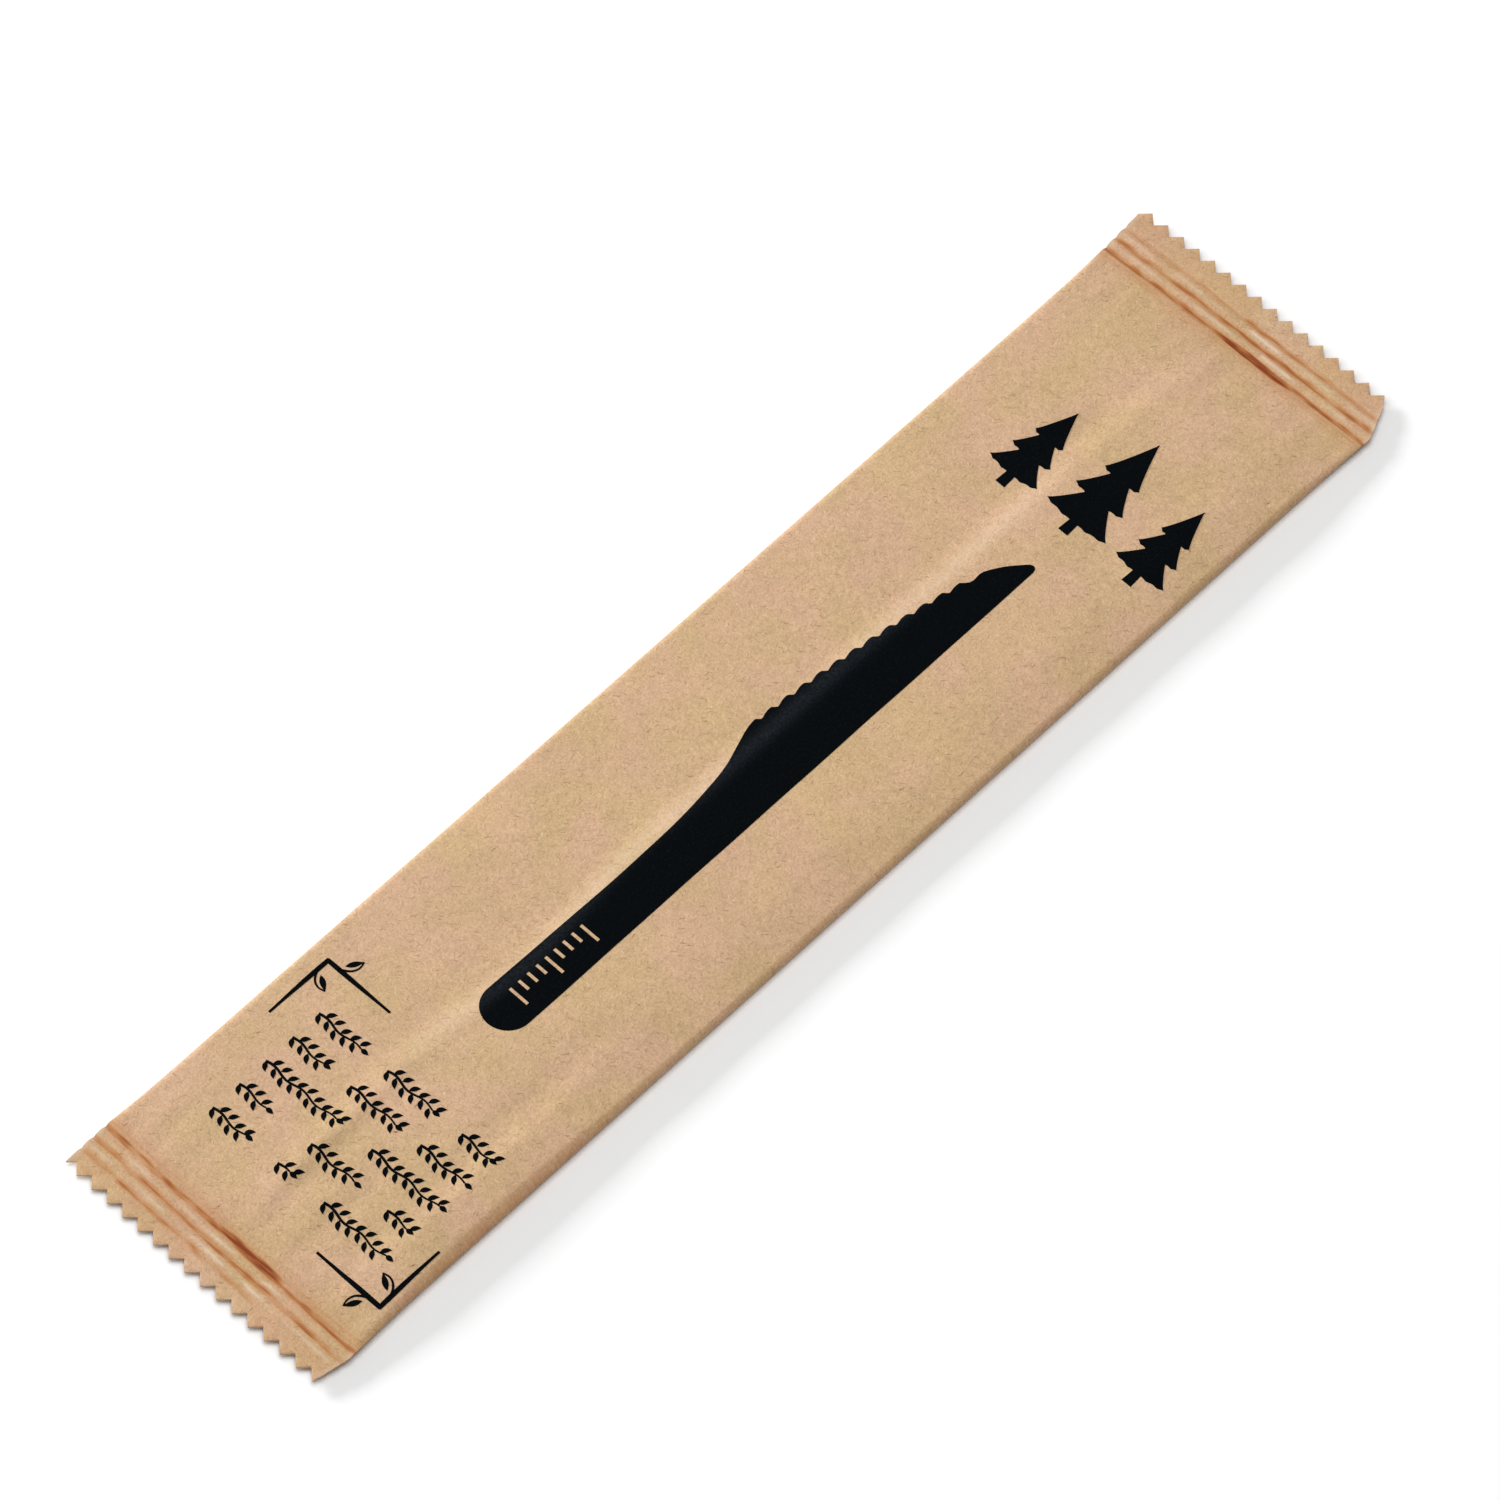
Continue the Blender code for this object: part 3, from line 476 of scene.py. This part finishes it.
def pale_marks_and_highlights(s, y):
    """Pale Gaussian lines: painted highlights in streaks along the ribs, even paling on the seals'
    folds, and a painted sheen along the knife's edge.
    """
    pressed = inward(s) < 0
    between = -inward(s) < (CREASES - 1) * CRIMP_PITCH
    # Painted highlights along the ribs' crests, stronger over the seam
    rib = peak(from_crease(s) - CRIMP_PITCH / 2, RIB_BLUR) * pressed * between
    streak = smooth(0.5 + 0.7 * ripples(s * 2, y, STREAK_LENGTH, 21))
    fold = peak(np.minimum(far_edge(s) - y, y - near_edge(s)), FOLD_EDGE) * pressed
    # Painted sheen along the knife's ridge
    ridge = peak(y - knife_edge(s) + RIDGE_SHIFT, RIDGE_BLUR)
    ridge = ridge * smooth((RIDGE_END - np.abs(s)) / RIDGE_FADE)
    rib_highlight = (RIB_HIGHLIGHT + SEAM_HIGHLIGHT * over_seam(y)) * rib * streak
    return np.clip(rib_highlight + FOLD_PALING * fold + RIDGE_SHEEN * ridge, 0.0, 1.0)


def cover(piece, name, values):
    """Stores a value for each point of a piece, read by its material."""
    layer = piece.data.attributes.new(name, "FLOAT", "POINT")
    layer.data.foreach_set("value", values.ravel())


def wrapper():
    """The closed skin: s along the pack and v round it, over the front to -Y and back underneath."""
    places = np.unique(np.round(np.concatenate((
        spaced(-HALF_LENGTH, LEFT_CREASE + BURN_REACH, SEAL_STEP),
        spaced(LEFT_CREASE + BURN_REACH, LEFT_CREASE + BODY_RAMP, RAMP_STEP),
        spaced(LEFT_CREASE + BODY_RAMP, RIGHT_CREASE - BODY_RAMP, BODY_STEP),
        spaced(RIGHT_CREASE - BODY_RAMP, RIGHT_CREASE - BURN_REACH, RAMP_STEP),
        spaced(RIGHT_CREASE - BURN_REACH, HALF_LENGTH, SEAL_STEP))), 7))
    s = places[:, None]
    y = far_edge(s) - column_shares(s) * (far_edge(s) - near_edge(s))
    x = placed(s, y)
    front = np.stack((x, y, front_height(s, y)), axis=2)
    back = np.stack((x, y, back_height(s, y)), axis=2)
    points = np.concatenate((front, back[:, ::-1]), axis=1)
    rows, around = points.shape[:2]
    index = np.arange(rows * around).reshape(rows, around)
    after = np.roll(index, -1, axis=1)
    skin = np.stack((index[:-1], after[:-1], after[1:], index[1:]), axis=2).reshape(-1, 4)
    top, under = index[:, :COLUMNS + 1], index[:, :COLUMNS:-1]
    left = np.stack((top[0, 1:], top[0, :-1], under[0, :-1], under[0, 1:]), axis=1)
    right = np.stack((top[-1, :-1], top[-1, 1:], under[-1, 1:], under[-1, :-1]), axis=1)
    piece = new_piece("wrapper", points, np.concatenate((skin, left, right)), kraft_paper())
    # Scorching with the near fold's painted shade, and paling with painted highlights on the ribs and
    # the knife's ridge
    for name, values in (("scorch_and_shade", scorch_and_fold_shade(s, y)), ("paling_and_highlights", pale_marks_and_highlights(s, y))):
        cover(piece, name, np.concatenate((values, values[:, ::-1]), axis=1))
    return piece


paper = wrapper()
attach(paper, "root")
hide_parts("sealed_pack")


# The back seam. The sheet's two long edges are pressed together with heat into a fin, which is
# folded flat against the back. Fine cross ribs from the sealing wheel run over it.
SEAM_RIB_PITCH, SEAM_RIB_HEIGHT = 0.0011, 0.00004
SEAM_OVERLAP = 0.00005      # how far it reaches into the panel that it is folded from
SEAM_STEP, SEAM_CELLS = 0.00028, 12


def slab(top, bottom, keep=None):
    """Closed body between two grids of points: the kept cells of both, and a wall round them."""
    rows, columns = top.shape[:2]
    keep = np.ones((rows - 1, columns - 1), bool) if keep is None else keep
    index = np.arange(rows * columns).reshape(rows, columns)
    under = index + rows * columns
    i, j = np.nonzero(keep)
    faces = [np.stack((index[i, j], index[i + 1, j], index[i + 1, j + 1], index[i, j + 1]), axis=1)]
    faces.append(np.stack((under[i, j], under[i, j + 1], under[i + 1, j + 1], under[i + 1, j]), axis=1))
    framed = np.pad(keep, 1)
    corners = ((0, 0), (1, 0), (1, 1), (0, 1))
    for k, (di, dj) in enumerate(((0, -1), (1, 0), (0, 1), (-1, 0))):
        edge = ~framed[i + 1 + di, j + 1 + dj]
        (ai, aj), (bi, bj) = corners[k], corners[(k + 1) % 4]
        a, b = (i[edge] + ai, j[edge] + aj), (i[edge] + bi, j[edge] + bj)
        faces.append(np.stack((under[a], under[b], index[b], index[a]), axis=1))
    used, faces = np.unique(np.concatenate(faces), return_inverse=True)
    points = np.concatenate((top.reshape(-1, 3), bottom.reshape(-1, 3)))
    return points[used], faces.reshape(-1, 4)


def seam():
    """The fin: s along it and y across it, under the back panel by its thickness, less in the seals.

    Its ribs are a raised cosine along s.
    """
    end = HALF_LENGTH - TOOTH_DEPTH - TOOTH_BOW
    s = spaced(-end, end, SEAM_STEP)[:, None]
    y = np.linspace(FIN_ROOT - FIN_WIDTH, FIN_ROOT, SEAM_CELLS + 1) + 0 * s
    panel = back_height(s, y)
    pressed = FIN_PRESSED + (1 - FIN_PRESSED) * swell(s)
    ribs = SEAM_RIB_HEIGHT * (1 + np.cos(2 * np.pi * s / SEAM_RIB_PITCH)) / 2 * swell(s)
    x = s + lean(s) * y
    top = np.stack((x, y, panel + SEAM_OVERLAP), axis=2)
    bottom = np.stack((x, y, panel - FIN_THICKNESS * pressed + ribs), axis=2)
    return slab(top, bottom)


back_seam = new_piece("back_seam", *seam(), paper.data.materials[0])
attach(back_seam, "root")


# The printed knife. A flat silhouette of a table knife in black water-based ink, printed on the sheet
# before it was folded. Bare ticks in its handle make a scale, like the edge of a ruler.
INK_HEIGHT, INK_DEPTH = 0.00003, 0.00006    # the film over the paper, and how far it soaks in
PRINT_START, PRINT_LENGTH, PRINT_WIDTH = -0.04935, 0.0976, 0.0108
PRINT_SPINE, PRINT_ROUND = -0.00605, 0.00365        # the spine's place, and the handle's round end
# The tip: what is cut off its length, its round end, and how far and over what length the spine rises
TIP_CUT, TIP_ROUND, TIP_RISE, TIP_LENGTH = 0.00018, 0.00026, 0.00034, 0.0010
PRINT_END = PRINT_START + PRINT_LENGTH - TIP_CUT
BLUNT_SHARE = 0.03          # of the width, which the round ends keep
SAW_TEETH, SAW_DEPTH = 12, 0.00055
SAW_DROP = 0.3              # the share of a tooth that drops from its tip
# Shares of the length where the teeth start and end, and of the width by which they fall and bulge
SAW_START, SAW_END, SAW_FALL, SAW_BULGE = 0.572, 0.911, 0.24, 0.22
# Shares of the length and of the width, from the handle to the saw teeth, and beyond them
HANDLE_LINE = ((0.0, 0.684), (0.04, 0.682), (0.12, 0.671), (0.31, 0.646), (0.375, 0.657),
               (0.436, 0.704), (0.498, 0.796), (0.529, 0.894), (0.56, 0.985), (SAW_START, 1.0))
POINT_LINE = ((SAW_END, 0.54), (0.918, 0.475), (0.944, 0.444), (0.96, 0.366), (0.974, 0.281),
              (0.985, 0.196), (0.995, 0.118), (1.0, 0.073))
TICKS, TICK_PITCH, TICK_START, TICK_WIDTH = 9, 0.0016, -0.0440, 0.00045
LONG_TICK, SHORT_TICK, LONG_EVERY = 0.0032, 0.0018, 4   # every fourth one is long
INK_STEP, BAND_CELLS, SAW_POINTS, ROUND_CELLS = 0.0006, 8, 12, 12   # of the mesh
# Its colours where it lies thick, where it has soaked in, and of the painted sheen along the knife's
# ridge, and its grain's size
INK_SHADE, SOAKED_SHADE, SHEEN_SHADE, INK_GRAIN = "#070A0D", "#26241F", "#3C4248", 0.00030


def black_ink():
    """Water-based black ink: a thin film that soaks in, dull and nearly even, with a painted grey sheen
    along the knife's ridge.
    """
    material, tree, shader, coords = new_material("black_water_ink")
    grain = add(tree, "ShaderNodeTexNoise", {"Vector": coords, "Scale": 1 / INK_GRAIN, "Detail": 4.0})
    soaked = add(tree, "ShaderNodeMapRange",
                 {0: grain.outputs["Fac"], 1: 0.55, 2: 0.85, 3: 0.0, 4: 0.35})
    patches = add(tree, "ShaderNodeMapRange",
                  {0: grain.outputs["Fac"], 1: 0.35, 2: 0.65, 3: 0.5, 4: 1.5})
    # Painted sheen along the knife's ridge, broken up by the grain
    paling_and_highlights = add(tree, "ShaderNodeAttribute", attribute_name="paling_and_highlights")
    sheen = add(tree, "ShaderNodeMath",
               {0: paling_and_highlights.outputs["Fac"], 1: patches.outputs[0]}, operation="MULTIPLY")
    tone = colour(INK_SHADE)
    for mask, shade in ((soaked, SOAKED_SHADE), (sheen, SHEEN_SHADE)):
        tone = add(tree, "ShaderNodeMix",
                   {0: mask.outputs[0], 6: tone, 7: colour(shade)}, data_type="RGBA").outputs[2]
    tree.links.new(tone, shader.inputs["Base Color"])
    relief = add(tree, "ShaderNodeBump",
                 {"Strength": 0.4, "Distance": 0.00002, "Height": grain.outputs["Fac"]})
    tree.links.new(relief.outputs[0], shader.inputs["Normal"])
    shader.inputs["Roughness"].default_value = 0.8
    shader.inputs["Specular IOR Level"].default_value = 0.012
    return material


def curve_through(u, points):
    """Smooth curve through points: cubic Hermite pieces with the points' own central slopes."""
    places, heights = np.array(points).T
    slopes = np.gradient(heights, places)
    k = np.clip(np.searchsorted(places, u, side="right") - 1, 0, len(places) - 2)
    step = places[k + 1] - places[k]
    t = (u - places[k]) / step
    rise = heights[k + 1] - heights[k]
    bend = slopes[k] * (1 - t) - slopes[k + 1] * t
    return heights[k] + rise * smooth(t) + step * t * (1 - t) * bend


def print_edge(x):
    """Upper outline of the knife: a handle curve, saw teeth under a bulging line, and a slanted point.

    Each tooth drops by half a cosine from its tip, and rises by a quarter sine to the next one.
    """
    u = np.clip((x - PRINT_START) / PRINT_LENGTH, 0.0, 1.0)
    t = np.clip((u - SAW_START) / (SAW_END - SAW_START), 0.0, 1.0)
    phase = t * SAW_TEETH % 1
    drop, rise = phase / SAW_DROP, (phase - SAW_DROP) / (1 - SAW_DROP)
    depth = np.where(phase < SAW_DROP, (1 - np.cos(np.pi * drop)) / 2, 1 - np.sin(np.pi / 2 * rise))
    saw = 1 - SAW_FALL * t - SAW_BULGE * t * t - SAW_DEPTH / PRINT_WIDTH * depth
    handle, point = curve_through(u, HANDLE_LINE), curve_through(u, POINT_LINE)
    share = np.where(u <= SAW_START, handle, np.where(u >= SAW_END, point, saw))
    return PRINT_SPINE + share * PRINT_WIDTH


def print_outlines(x):
    """Upper and lower outline of the knife: both close in on a quarter ellipse at each end.

    Near the tip the spine rises by a parabola.
    """
    gap = np.minimum((x - PRINT_START) / PRINT_ROUND, (PRINT_END - x) / TIP_ROUND)
    share = np.maximum(np.sqrt(1 - np.clip(1 - gap, 0.0, 1.0) ** 2), BLUNT_SHARE)
    spine = PRINT_SPINE + TIP_RISE * np.clip(1 - (PRINT_END - x) / TIP_LENGTH, 0.0, 1.0) ** 2
    middle = (print_edge(x) + spine) / 2
    return middle + (print_edge(x) - middle) * share, middle + (spine - middle) * share


def station_of(x, y):
    """Station at which the leaning film lies at (x, y): x less the lean, found in four steps."""
    s = x
    for _ in range(4):
        s = x - lean(s) * y
    return s


def ink_film(x, y, keep=None, layer=0):
    """Closed film of ink on the front at plan places, from just over the paper to just inside it.

    Each layer's top lies a third of the film's height over the one before, so that they don't meet.
    """
    height = front_height(station_of(x, y), y)
    top = height + INK_HEIGHT * (1 + layer / 3)
    return slab(np.stack((x, y, top), axis=2), np.stack((x, y, height - INK_DEPTH), axis=2), keep)


def knife_print():
    """The silhouette: x along the knife and v from spine to edge, less the cells under the ticks."""
    toothed = PRINT_START + PRINT_LENGTH * np.linspace(SAW_START, SAW_END, SAW_POINTS * SAW_TEETH + 1)
    starts = TICK_START + TICK_PITCH * np.arange(TICKS)
    turn = np.linspace(0, np.pi / 2, ROUND_CELLS + 1)
    places = np.concatenate((
        PRINT_START + PRINT_ROUND * (1 - np.cos(turn)), starts, starts + TICK_WIDTH,
        toothed, spaced(PRINT_START + PRINT_ROUND, PRINT_END - TIP_LENGTH, INK_STEP),
        spaced(PRINT_END - TIP_LENGTH, PRINT_END - TIP_ROUND, INK_STEP / 5),
        PRINT_END - TIP_ROUND * (1 - np.cos(turn))))
    x = np.unique(np.round(places, 6))
    top, spine = print_outlines(x)
    steady = np.clip(x, TICK_START, TICK_START + TICK_PITCH * TICKS)
    high, low = print_outlines(steady)
    middle = (PRINT_SPINE + print_edge(TICK_START)) / 2
    lines = middle + LONG_TICK / 2 - np.array((LONG_TICK, SHORT_TICK, 0.0))
    shares = (lines[None] - low[:, None]) / (high - low)[:, None]
    edges = np.concatenate((0 * shares[:, :1], shares, 1 + 0 * shares[:, :1]), axis=1)
    bands = [np.linspace(edges[:, k], edges[:, k + 1], BAND_CELLS + 1)[:-1] for k in range(4)]
    v = np.concatenate(bands + [edges[None, :, 4]])
    y = spine[:, None] + v.T * (top - spine)[:, None]
    centre = (x[1:] + x[:-1]) / 2
    number = np.floor((centre - TICK_START) / TICK_PITCH)
    past = centre - TICK_START - number * TICK_PITCH
    on_tick = (number >= 0) & (number < TICKS) & (past < TICK_WIDTH)
    band = np.arange(v.shape[0] - 1) // BAND_CELLS
    bare = on_tick[:, None] & ((band == 2) | ((band == 1) & (number % LONG_EVERY == 0)[:, None]))
    return ink_film(x[:, None] + 0 * y, y, ~bare)


ink = black_ink()
printed_knife = new_piece("printed_knife", *knife_print(), ink)
# The knife's print carries the painted sheen along its ridge
print_points = np.array([point.co for point in printed_knife.data.vertices])
cover(printed_knife, "paling_and_highlights", pale_marks_and_highlights(print_points[:, 0], print_points[:, 1]))
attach(printed_knife, "root")


# The corner lines. Two right angles in thin brush lines frame the printed rows, one at each end of
# their diagonal. Each leg carries a curled stem with one leaf, drawn as by hand.
FAR_CORNER, NEAR_CORNER = (-0.0566, 0.0189), (-0.0871, -0.0209)
LEG_LENGTHS, LEG_THICK, LEG_THIN = (0.0107, 0.0113), 0.00072, 0.00038
LEG_SWELL, SWELL_REACH = 0.22, 0.8      # where along a leg it is thickest, and how far that fades
# Along the leg and out from it: the stem's points, then the leaf's root and tip
STEM_POINTS = ((0.0018, 0.0), (0.0027, 0.00045), (0.0034, 0.0011), (0.0037, 0.0020), (0.0035, 0.0030))
LEAF_ROOT, LEAF_TIP = (0.0022, 0.0009), (0.0035, 0.0030)
STEM_WIDTH, LEAF_WIDTH, HAIR = 0.00030, 0.00082, 0.00005
LEAF_SKEW = 0.85            # below 1, a leaf is widest nearer its root


def ribbon(x, y, width, cells=2):
    """Film along a line: the line's points, moved left and right of its direction by half its width."""
    dx, dy = np.gradient(x), np.gradient(y)
    across = np.linspace(-0.5, 0.5, cells + 1)[None] * (width / np.hypot(dx, dy))[:, None]
    return ink_film(x[:, None] - dy[:, None] * across, y[:, None] + dx[:, None] * across)


def leaf(root, tip, width, bend=0.0):
    """Leaf: a ribbon as wide as a sine along it, on a line bent by a parabola, pointed at both ends."""
    t = np.linspace(0, 1, 15)
    (x0, y0), (x1, y1) = root, tip
    bow = 4 * bend * t * (1 - t)
    return ribbon(x0 + (x1 - x0) * t - (y1 - y0) * bow, y0 + (y1 - y0) * t + (x1 - x0) * bow,
                  np.maximum(width * np.sin(np.pi * t ** LEAF_SKEW), HAIR), 4)


def line_through(points, count):
    """Points along a smooth curve through given points."""
    places = np.arange(len(points))
    t = np.linspace(0, len(points) - 1, count)
    return [curve_through(t, np.stack((places, line), axis=1)) for line in np.array(points).T]


def corner(place, turn):
    """One right angle: legs along -X and -Y, or +X and +Y for a turn of -1, each with its leaf."""
    films = []
    for along, out, length in (((-1, 0), (0, -1), LEG_LENGTHS[0]), ((0, -1), (1, 0), LEG_LENGTHS[1])):
        axes = turn * np.array((along, out))

        def at(point):
            return np.array(place) + np.array(point) @ axes

        t = np.linspace(0, 1, 25)
        leg = np.array([at((length * k - LEG_THIN / 2, 0.0)) for k in t])
        swell_along = bell(t, LEG_SWELL, SWELL_REACH)
        films.append(ribbon(*leg.T, LEG_THIN + (LEG_THICK - LEG_THIN) * swell_along))
        stem = line_through([at(point) for point in STEM_POINTS], 21)
        films.append(ribbon(*stem, STEM_WIDTH * (1.25 - 0.5 * np.linspace(0, 1, 21))))
        films.append(leaf(at(LEAF_ROOT), at(LEAF_TIP), LEAF_WIDTH))
    return films


def joined(films):
    """Several films as one mesh."""
    starts = np.cumsum([0] + [len(points) for points, _ in films])
    faces = [faces + start for (_, faces), start in zip(films, starts)]
    return np.concatenate([points for points, _ in films]), np.concatenate(faces)


corner_lines = new_piece("corner_lines", *joined(corner(FAR_CORNER, 1) + corner(NEAR_CORNER, -1)), ink)
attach(corner_lines, "root")


# The rows of sprigs. Five rows of small leafy twigs between the corner lines, in the same black ink.
# Each is a wavy stem, drawn as by hand, with slanted leaves to both sides and one at its end.
SPRIG_START, SPRIG_PITCH = (-0.06295, 0.0142), 0.0047
SPRIG_ROWS = (((0.0, 0.0088), (0.0122, 0.0095), (0.0254, 0.0063)),      # start and length of each twig
              ((0.0, 0.0068), (0.0103, 0.0095), (0.0228, 0.0092)),
              ((0.0, 0.0138), (0.0188, 0.0132)),
              ((0.0, 0.0062), (0.0128, 0.0090), (0.0263, 0.0049)),
              ((0.0, 0.0071), (0.0116, 0.0034), (0.0198, 0.0122)))
SPRIG_WAVE, SPRIG_WAVE_LENGTH = 0.00022, 0.0052
SPRIG_LINE, SPRIG_LEAF, SPRIG_LEAF_WIDTH, SPRIG_LEAF_PITCH = 0.00036, 0.00165, 0.00072, 0.00150
LEAF_OUT, LEAF_ALONG = 0.80, 0.58       # a leaf's reach out from the stem and along it, in leaf lengths
FIRST_LEAF, LEAF_MARGIN = 0.0006, 0.0004    # the first pair's place, and the stem left out in counting
LEAF_STAGGER = 0.00045                  # how far each leaf of a pair is shifted along the stem
LEAF_OFFSET, LEAF_BEND = 0.0001, 0.1    # from the stem's middle to a leaf's root, and its bend


def sprig(x, y, length):
    """A twig towards -Y: a stem waved by a sine, pairs of slanted leaves, and a last one at its end."""
    run = length - SPRIG_LEAF * LEAF_OUT
    t = np.linspace(0, 1, 30)
    wave = SPRIG_WAVE * np.sin(2 * np.pi * t * run / SPRIG_WAVE_LENGTH)
    films = [ribbon(x + wave, y - run * t, SPRIG_LINE * (1.15 - 0.5 * t))]
    for k in range(int((run - LEAF_MARGIN) / SPRIG_LEAF_PITCH) + 1):
        place = FIRST_LEAF + k * SPRIG_LEAF_PITCH
        root_x = x + SPRIG_WAVE * np.sin(2 * np.pi * place / SPRIG_WAVE_LENGTH)
        for side in (1, -1):
            root_y = y - place - LEAF_STAGGER * side
            root = (root_x + side * LEAF_OFFSET, root_y)
            tip = (root_x + side * SPRIG_LEAF * LEAF_OUT, root_y - SPRIG_LEAF * LEAF_ALONG)
            films.append(leaf(root, tip, SPRIG_LEAF_WIDTH, LEAF_BEND * side))
    films.append(leaf((x + wave[-1], y - run), (x + wave[-1], y - length), SPRIG_LEAF_WIDTH))
    return films


def sprigs():
    """All twigs, row by row towards -X."""
    films = []
    for row, twigs in enumerate(SPRIG_ROWS):
        for start, length in twigs:
            films += sprig(SPRIG_START[0] - row * SPRIG_PITCH, SPRIG_START[1] - start, length)
    return joined(films)


sprig_rows = new_piece("sprig_rows", *sprigs(), ink)
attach(sprig_rows, "root")


# The fir trees. Three plain firs, printed side by side with their tips towards +X, the middle one
# taller. Each is three tiers with hanging skirts over a short trunk.
TREE_BASE, TREE_MIDDLE, TREE_PITCH = 0.0545, -0.0045, 0.0112
TREE_HEIGHTS = (0.0150, 0.0185, 0.0150)
TREE_SLIMNESS = 0.56        # width of the lowest tier, in tree heights
# Widths of the tiers in shares of the lowest one, and the step between them and their height in crowns
TIER_WIDTHS, TIER_RISE, TIER_HEIGHT = (1.0, 0.80, 0.58), 0.27, 0.46
TIER_POWER = 0.85           # below 1, a tier's sides curve inwards
TRUNK_WIDTH, TRUNK_HEIGHT = 0.0013, 0.0024
TRUNK_SINK, TRUNK_FLARE = 1.3, 1.25     # shares: its length with what the skirt covers, and its foot
# How far a tier's lower edge hangs in its middle, and its scallops' height and number to each side
SKIRT_SAG, SKIRT_SCALLOP, SCALLOPS = 0.00056, 0.00021, 2.5


def tier(x, y, half_width, height, layer):
    """One tier: v across and t up it, narrowing by a power of t.

    Its skirt hangs by a parabola of v, scalloped by the size of a sine, and straightens out upwards.
    """
    t, v = np.meshgrid(np.linspace(0, 1, 19), np.linspace(-1, 1, 33), indexing="ij")
    scallop = SKIRT_SCALLOP * np.abs(np.sin(SCALLOPS * np.pi * v))
    skirt = (SKIRT_SAG * (v ** 2 - 1) + scallop) * (1 - t)
    width = half_width * np.maximum(1 - t ** TIER_POWER, HAIR / half_width)
    return ink_film(x + height * t + skirt, y + v * width, layer=layer)


def trees():
    """Trunks and tiers of all three trees."""
    films = []
    for k, height in enumerate(TREE_HEIGHTS):
        y = TREE_MIDDLE + (1 - k) * TREE_PITCH
        crown = height - TRUNK_HEIGHT
        trunk = np.linspace(TREE_BASE, TREE_BASE + TRUNK_HEIGHT * TRUNK_SINK, 9)
        trunk_widths = np.linspace(TRUNK_WIDTH * TRUNK_FLARE, TRUNK_WIDTH, 9)
        films.append(ribbon(trunk, y + 0 * trunk, trunk_widths))
        for number, width in enumerate(TIER_WIDTHS):
            low = TREE_BASE + TRUNK_HEIGHT + crown * TIER_RISE * number
            half_width = height * TREE_SLIMNESS * width / 2
            films.append(tier(low, y, half_width, crown * TIER_HEIGHT, number + 1))
    return joined(films)


fir_trees = new_piece("fir_trees", *trees(), ink)
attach(fir_trees, "root")


# The studio: a white paper sweep on the ground, a low softbox beyond the pack that rakes over it, a
# broad one overhead, and pale walls all round that fill the shadows.
FLOOR_SIZE = 6.0
# Place, width, height and watts of each. Both face the middle of the ground.
SOFTBOXES = (("raking_softbox", (-0.15, 1.43, 0.43), 0.74, 0.27, 24.0),
             ("overhead_softbox", (0.0, 0.0, 1.60), 1.20, 1.20, 16.6))
WALL_LIGHT = 0.28

corners = FLOOR_SIZE / 2 * np.array(((-1, -1, 0), (1, -1, 0), (1, 1, 0), (-1, 1, 0)), float)
# Uncoated white paper: an even, matt ground on which the shadow shows softly
sweep, _, sweep_shader, _ = new_material("white_paper_sweep")
sweep_shader.inputs["Base Color"].default_value = colour("#F8F8F8")
sweep_shader.inputs["Roughness"].default_value = 0.9
floor = new_piece("floor", corners, np.array(((0, 1, 2, 3),)), sweep)

for name, place, wide, tall, watts in SOFTBOXES:
    box = bpy.data.lights.new(name, "AREA")
    box.shape, box.size, box.size_y, box.energy = "RECTANGLE", wide, tall, watts
    softbox = bpy.data.objects.new(name, box)
    facing = Vector(place).to_track_quat("Z", "Y").to_matrix().to_4x4()
    softbox.matrix_world = Matrix.Translation(place) @ facing
    bpy.context.scene.collection.objects.link(softbox)

walls = bpy.data.worlds.new("white_walls")
walls.use_nodes = True
walls.node_tree.nodes["Background"].inputs["Color"].default_value = colour("#FFFFFF")
walls.node_tree.nodes["Background"].inputs["Strength"].default_value = WALL_LIGHT
bpy.context.scene.world = walls
bpy.context.scene.view_settings.view_transform = "Standard"


# The camera. A long lens well away from the pack looks down on it from its near left side, so that its
# long edges hardly draw together.
ELEVATION, AZIMUTH, DISTANCE = np.radians(59.004), np.radians(-46.02), 1.336594
AIM, LENS, SENSOR = Vector((0.003215, 0.002381, 0.00125)), 250.1, 36.0

level = np.cos(ELEVATION)
back_way = Vector((np.sin(AZIMUTH) * level, -np.cos(AZIMUTH) * level, np.sin(ELEVATION)))
right_way = Vector((0, 0, 1)).cross(back_way).normalized()
lens = bpy.data.cameras.new("camera")
lens.lens, lens.sensor_width = LENS, SENSOR
camera = bpy.data.objects.new("camera", lens)
turned = Matrix((right_way, back_way.cross(right_way), back_way)).transposed().to_4x4()
camera.matrix_world = Matrix.Translation(AIM + back_way * DISTANCE) @ turned
bpy.context.scene.collection.objects.link(camera)
bpy.context.scene.camera = camera
